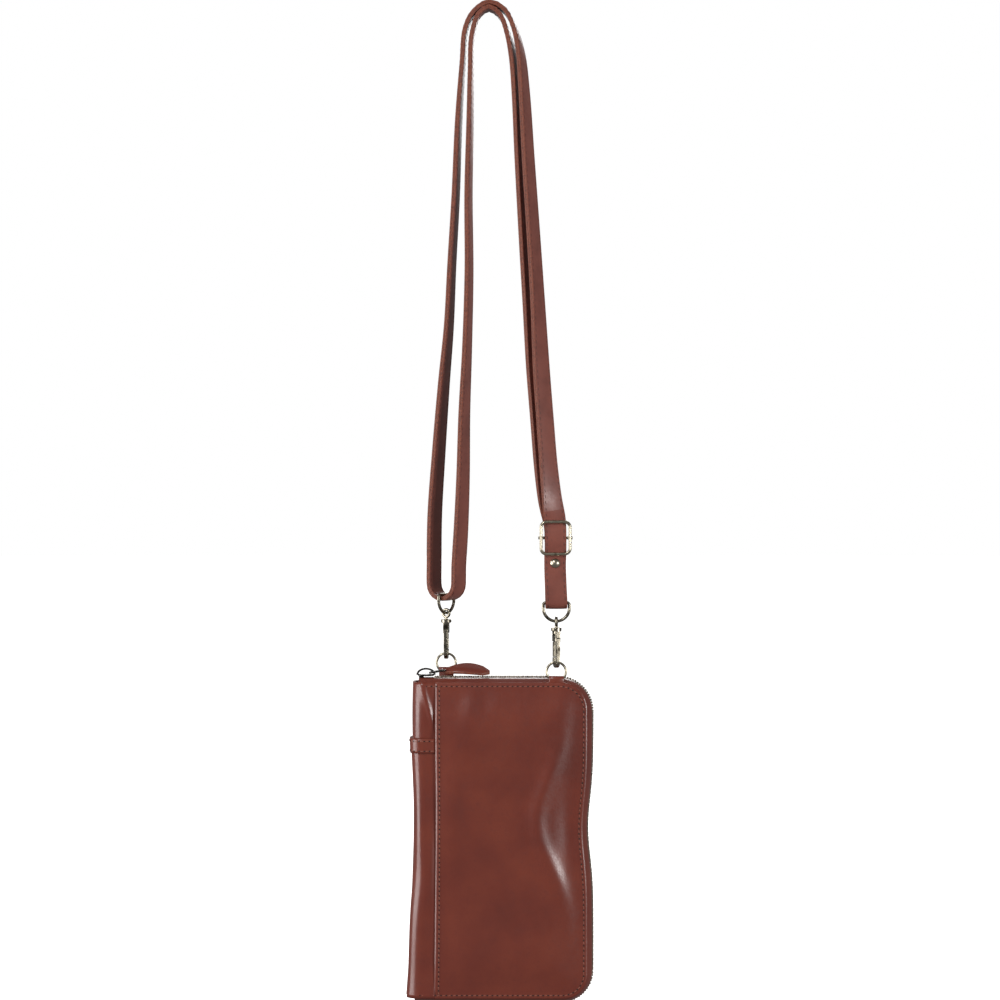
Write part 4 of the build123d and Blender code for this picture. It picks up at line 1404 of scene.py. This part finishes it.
@dataclass
class RingTab:
    """The leather loop that holds an O-ring to a gusset, sewn flat below the ring."""

    finishes: Finishes
    side: str
    thick: float = 0.9 * MM

    def build(self) -> None:
        """Builds the loop and its two ends."""
        low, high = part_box(f"{self.side}_ring_tab")
        ring_low, ring_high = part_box(f"{self.side}_o_ring")
        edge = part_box("front_cover")[1][2]
        y = (ring_low[1] + ring_high[1]) / 2
        radius = 1.35 * MM
        top = ring_low[2] + 2.1 * MM
        way = -1 if self.side == "right" else 1
        run = [Vector((0, y + way * 1.2 * MM, edge + 0.7 * MM))]
        run.append(Vector((0, y + way * radius, edge + 1.5 * MM)))
        for n in range(9):
            a = math.pi * n / 8
            run.append(Vector((0, y + way * radius * math.cos(a), top + radius * math.sin(a))))
        run.append(Vector((0, y - way * radius, edge + 1.6 * MM)))
        run.append(Vector((0, y - way * (radius + 0.4 * MM), edge + 0.8 * MM)))
        stations = []
        middle = Vector(((low[0] + high[0]) / 2, 0, 0))
        for i, point in enumerate(run):
            ahead = (run[min(i + 1, len(run) - 1)] - run[max(i - 1, 0)]).normalized()
            across = Vector((1, 0, 0))
            stations.append(along_axes(point + middle, across, ahead.cross(across), ahead))
        w, t, worn = (high[0] - low[0]) / 2, self.thick / 2, 0.3 * MM
        lower = [(-w, -0.5 * t), (-w + worn, -t), (w - worn, -t), (w, -0.5 * t)]
        profile = lower + [(-u, -v) for u, v in lower]
        bm = bmesh.new()
        sweep(bm, profile, stations)
        tab = publish(f"{self.side}_ring_loop", bm, [self.finishes.leather], 40)
        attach(tab, "purse_front")
        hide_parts(f"{self.side}_ring_tab")


# ---------------------------------------------------------------- cast and pressed metal
@dataclass(frozen=True)
class Casting:
    """A metal part whose corners are softened as casting and tumbling leave them."""

    node: str
    body: str
    voxel: float = 0.15 * MM
    passes: int = 24

    def build(self, material: Material, slot: str) -> None:
        """Rounds a copy of the part.

        Args:
            material: its finish.
            slot: not used.
        """
        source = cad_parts[self.node]
        bm = bmesh.new()
        bm.from_mesh(source.data)
        bmesh.ops.remove_doubles(bm, verts=bm.verts, dist=1e-6)
        piece = publish(f"{self.node}_cast", bm, [material], 180)
        rounding = piece.modifiers.new("rounding", "REMESH")
        rounding.mode = "VOXEL"
        rounding.voxel_size = self.voxel
        rounding.use_smooth_shade = True
        tumbling = piece.modifiers.new("tumbling", "SMOOTH")
        tumbling.factor = 0.5
        tumbling.iterations = self.passes
        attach(piece, self.body)
        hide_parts(self.node)


def castings(finishes: Finishes) -> None:
    """Rounds the hooks, the gates and the zip sliders."""
    for side in ("right", "left"):
        Casting(f"{side}_hook", f"{side}_hook").build(finishes.brass, "antique_brass")
        Casting(f"{side}_hook_gate", f"{side}_gate").build(finishes.brass, "antique_brass")
    Casting("zip_slider", "zip_slider").build(finishes.gunmetal, "dark_metal")
    Casting("coin_zip_slider", "coin_slider").build(finishes.gunmetal, "dark_metal")


# ---------------------------------------------------------------- carried-over parts
@dataclass
class Fittings:
    """Gives every part that is kept from the frame its finish."""

    finishes: Finishes

    def build(self) -> None:
        """Dresses the metal parts, the linings and the inner pockets."""
        f = self.finishes
        dress = {
            f.brass: ("_hook", "_swivel_eye", "_hook_gate", "_gate_pin", "_gate_spring", "_d_ring"),
            f.pale_brass: ("_o_ring", "buckle_frame", "buckle_bar", "strap_rivet"),
            f.gunmetal: ("zip_slider", "pull_link", "coin_zip_slider", "coin_zip_pull"),
            f.teeth: ("coin_zip_teeth",),
            f.tape: ("coin_zip_tape",),
            f.lining: ("lining", "card_slot", "note_pocket", "coin_pocket"),
            f.leather: ("spine_cap",),
        }
        for name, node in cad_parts.items():
            for material, words in dress.items():
                if any(word in name for word in words):
                    node.data.materials.clear()
                    node.data.materials.append(material)
                    break


@dataclass
class Studio:
    """A pale floor, soft light and a long lens level with the middle of the hanging purse."""

    distance: float = 1.55
    centre: tuple[float, float] = (6.3 * MM, -282.8 * MM)
    picture: float = 0.5773
    aim: float = -420 * MM  # the height that the lights face
    floor: float = -605 * MM
    floor_radius: float = 14.0

    def light(self, name: str, place: Point, size: float, power: float) -> None:
        """Adds a square soft box that faces the purse."""
        lamp = bpy.data.lights.new(name, "AREA")
        lamp.shape = "SQUARE"
        lamp.size = size
        lamp.energy = power
        box = bpy.data.objects.new(name, lamp)
        bpy.context.scene.collection.objects.link(box)
        box.location = place
        aim = Vector((self.centre[0], 0, self.aim)) - Vector(place)
        box.rotation_euler = aim.to_track_quat("-Z", "Y").to_euler()

    def build(self) -> None:
        """Builds the floor, the lights and the camera."""
        scene = bpy.context.scene
        material, tree, shader, place = new_material("pale_floor")
        cloud = add(tree, "TexNoise", Vector=place, Scale=3.0, Detail=3.0).outputs[0]
        colour = mix(tree, cloud, srgb("f4f3f1"), srgb("f8f7f6"))
        white = srgb("ffffff")
        feed(tree, shader, Base_Color=colour, Roughness=0.9, Emission_Color=white, Emission_Strength=1.0)
        bm = bmesh.new()
        bmesh.ops.create_circle(bm, cap_ends=True, radius=self.floor_radius, segments=96)
        bmesh.ops.translate(bm, vec=Vector((0, 0, self.floor)), verts=bm.verts)
        floor = publish("floor", bm, [material])
        # the gloss of the leather shows the soft boxes alone
        floor.visible_glossy = False
        floor.visible_diffuse = False
        world = bpy.data.worlds.new("studio")
        world.use_nodes = True
        sky = world.node_tree
        seen = add(sky, "Background", Color=white, Strength=1.0).outputs[0]
        soft = add(sky, "Background", Color=white, Strength=0.2).outputs[0]
        to_camera = add(sky, "LightPath").outputs["Is Camera Ray"]
        which = add(sky, "MixShader", i0=to_camera, i1=soft, i2=seen)
        sky.links.new(which.outputs[0], sky.nodes["World Output"].inputs[0])
        scene.world = world
        self.light("left_box", (-1.5, -0.45, -0.3), 1.1, 25)
        self.light("right_box", (1.3, -1.0, -0.3), 0.5, 15)
        self.light("front_box", (-0.8, -1.5, 0.8), 0.4, 13)
        self.light("back_box", (0.1, 1.8, 0.6), 1.0, 16)
        camera = bpy.data.cameras.new("camera")
        camera.angle = 2 * math.atan(self.picture / 2 / self.distance)
        camera.clip_end = 50
        eye = bpy.data.objects.new("camera", camera)
        scene.collection.objects.link(eye)
        eye.location = (self.centre[0], -self.distance, self.centre[1])
        eye.rotation_euler = (math.pi / 2, 0, 0)
        scene.camera = eye
        scene.view_settings.view_transform = "Standard"
        scene.view_settings.look = "None"


def main() -> None:
    """Builds the purse, piece by piece."""
    logging.basicConfig(level=logging.INFO, format="%(name)s: %(message)s")
    Studio().build()
    finishes = Finishes()
    shape = Shape()
    covers = Covers(shape, finishes)
    covers.front()
    covers.stitches()
    covers.back()
    LOG.info("covers")
    ZipEdge(shape, finishes).build()
    LOG.info("zip")
    Spine(shape, finishes).build()
    PhonePocket(shape, finishes).build()
    LOG.info("spine and pocket")
    Strap(finishes).build()
    PullTab(finishes).build()
    for side in ("right", "left"):
        RingTab(finishes, side).build()
    castings(finishes)
    Fittings(finishes).build()


if __name__ == "__main__":
    main()
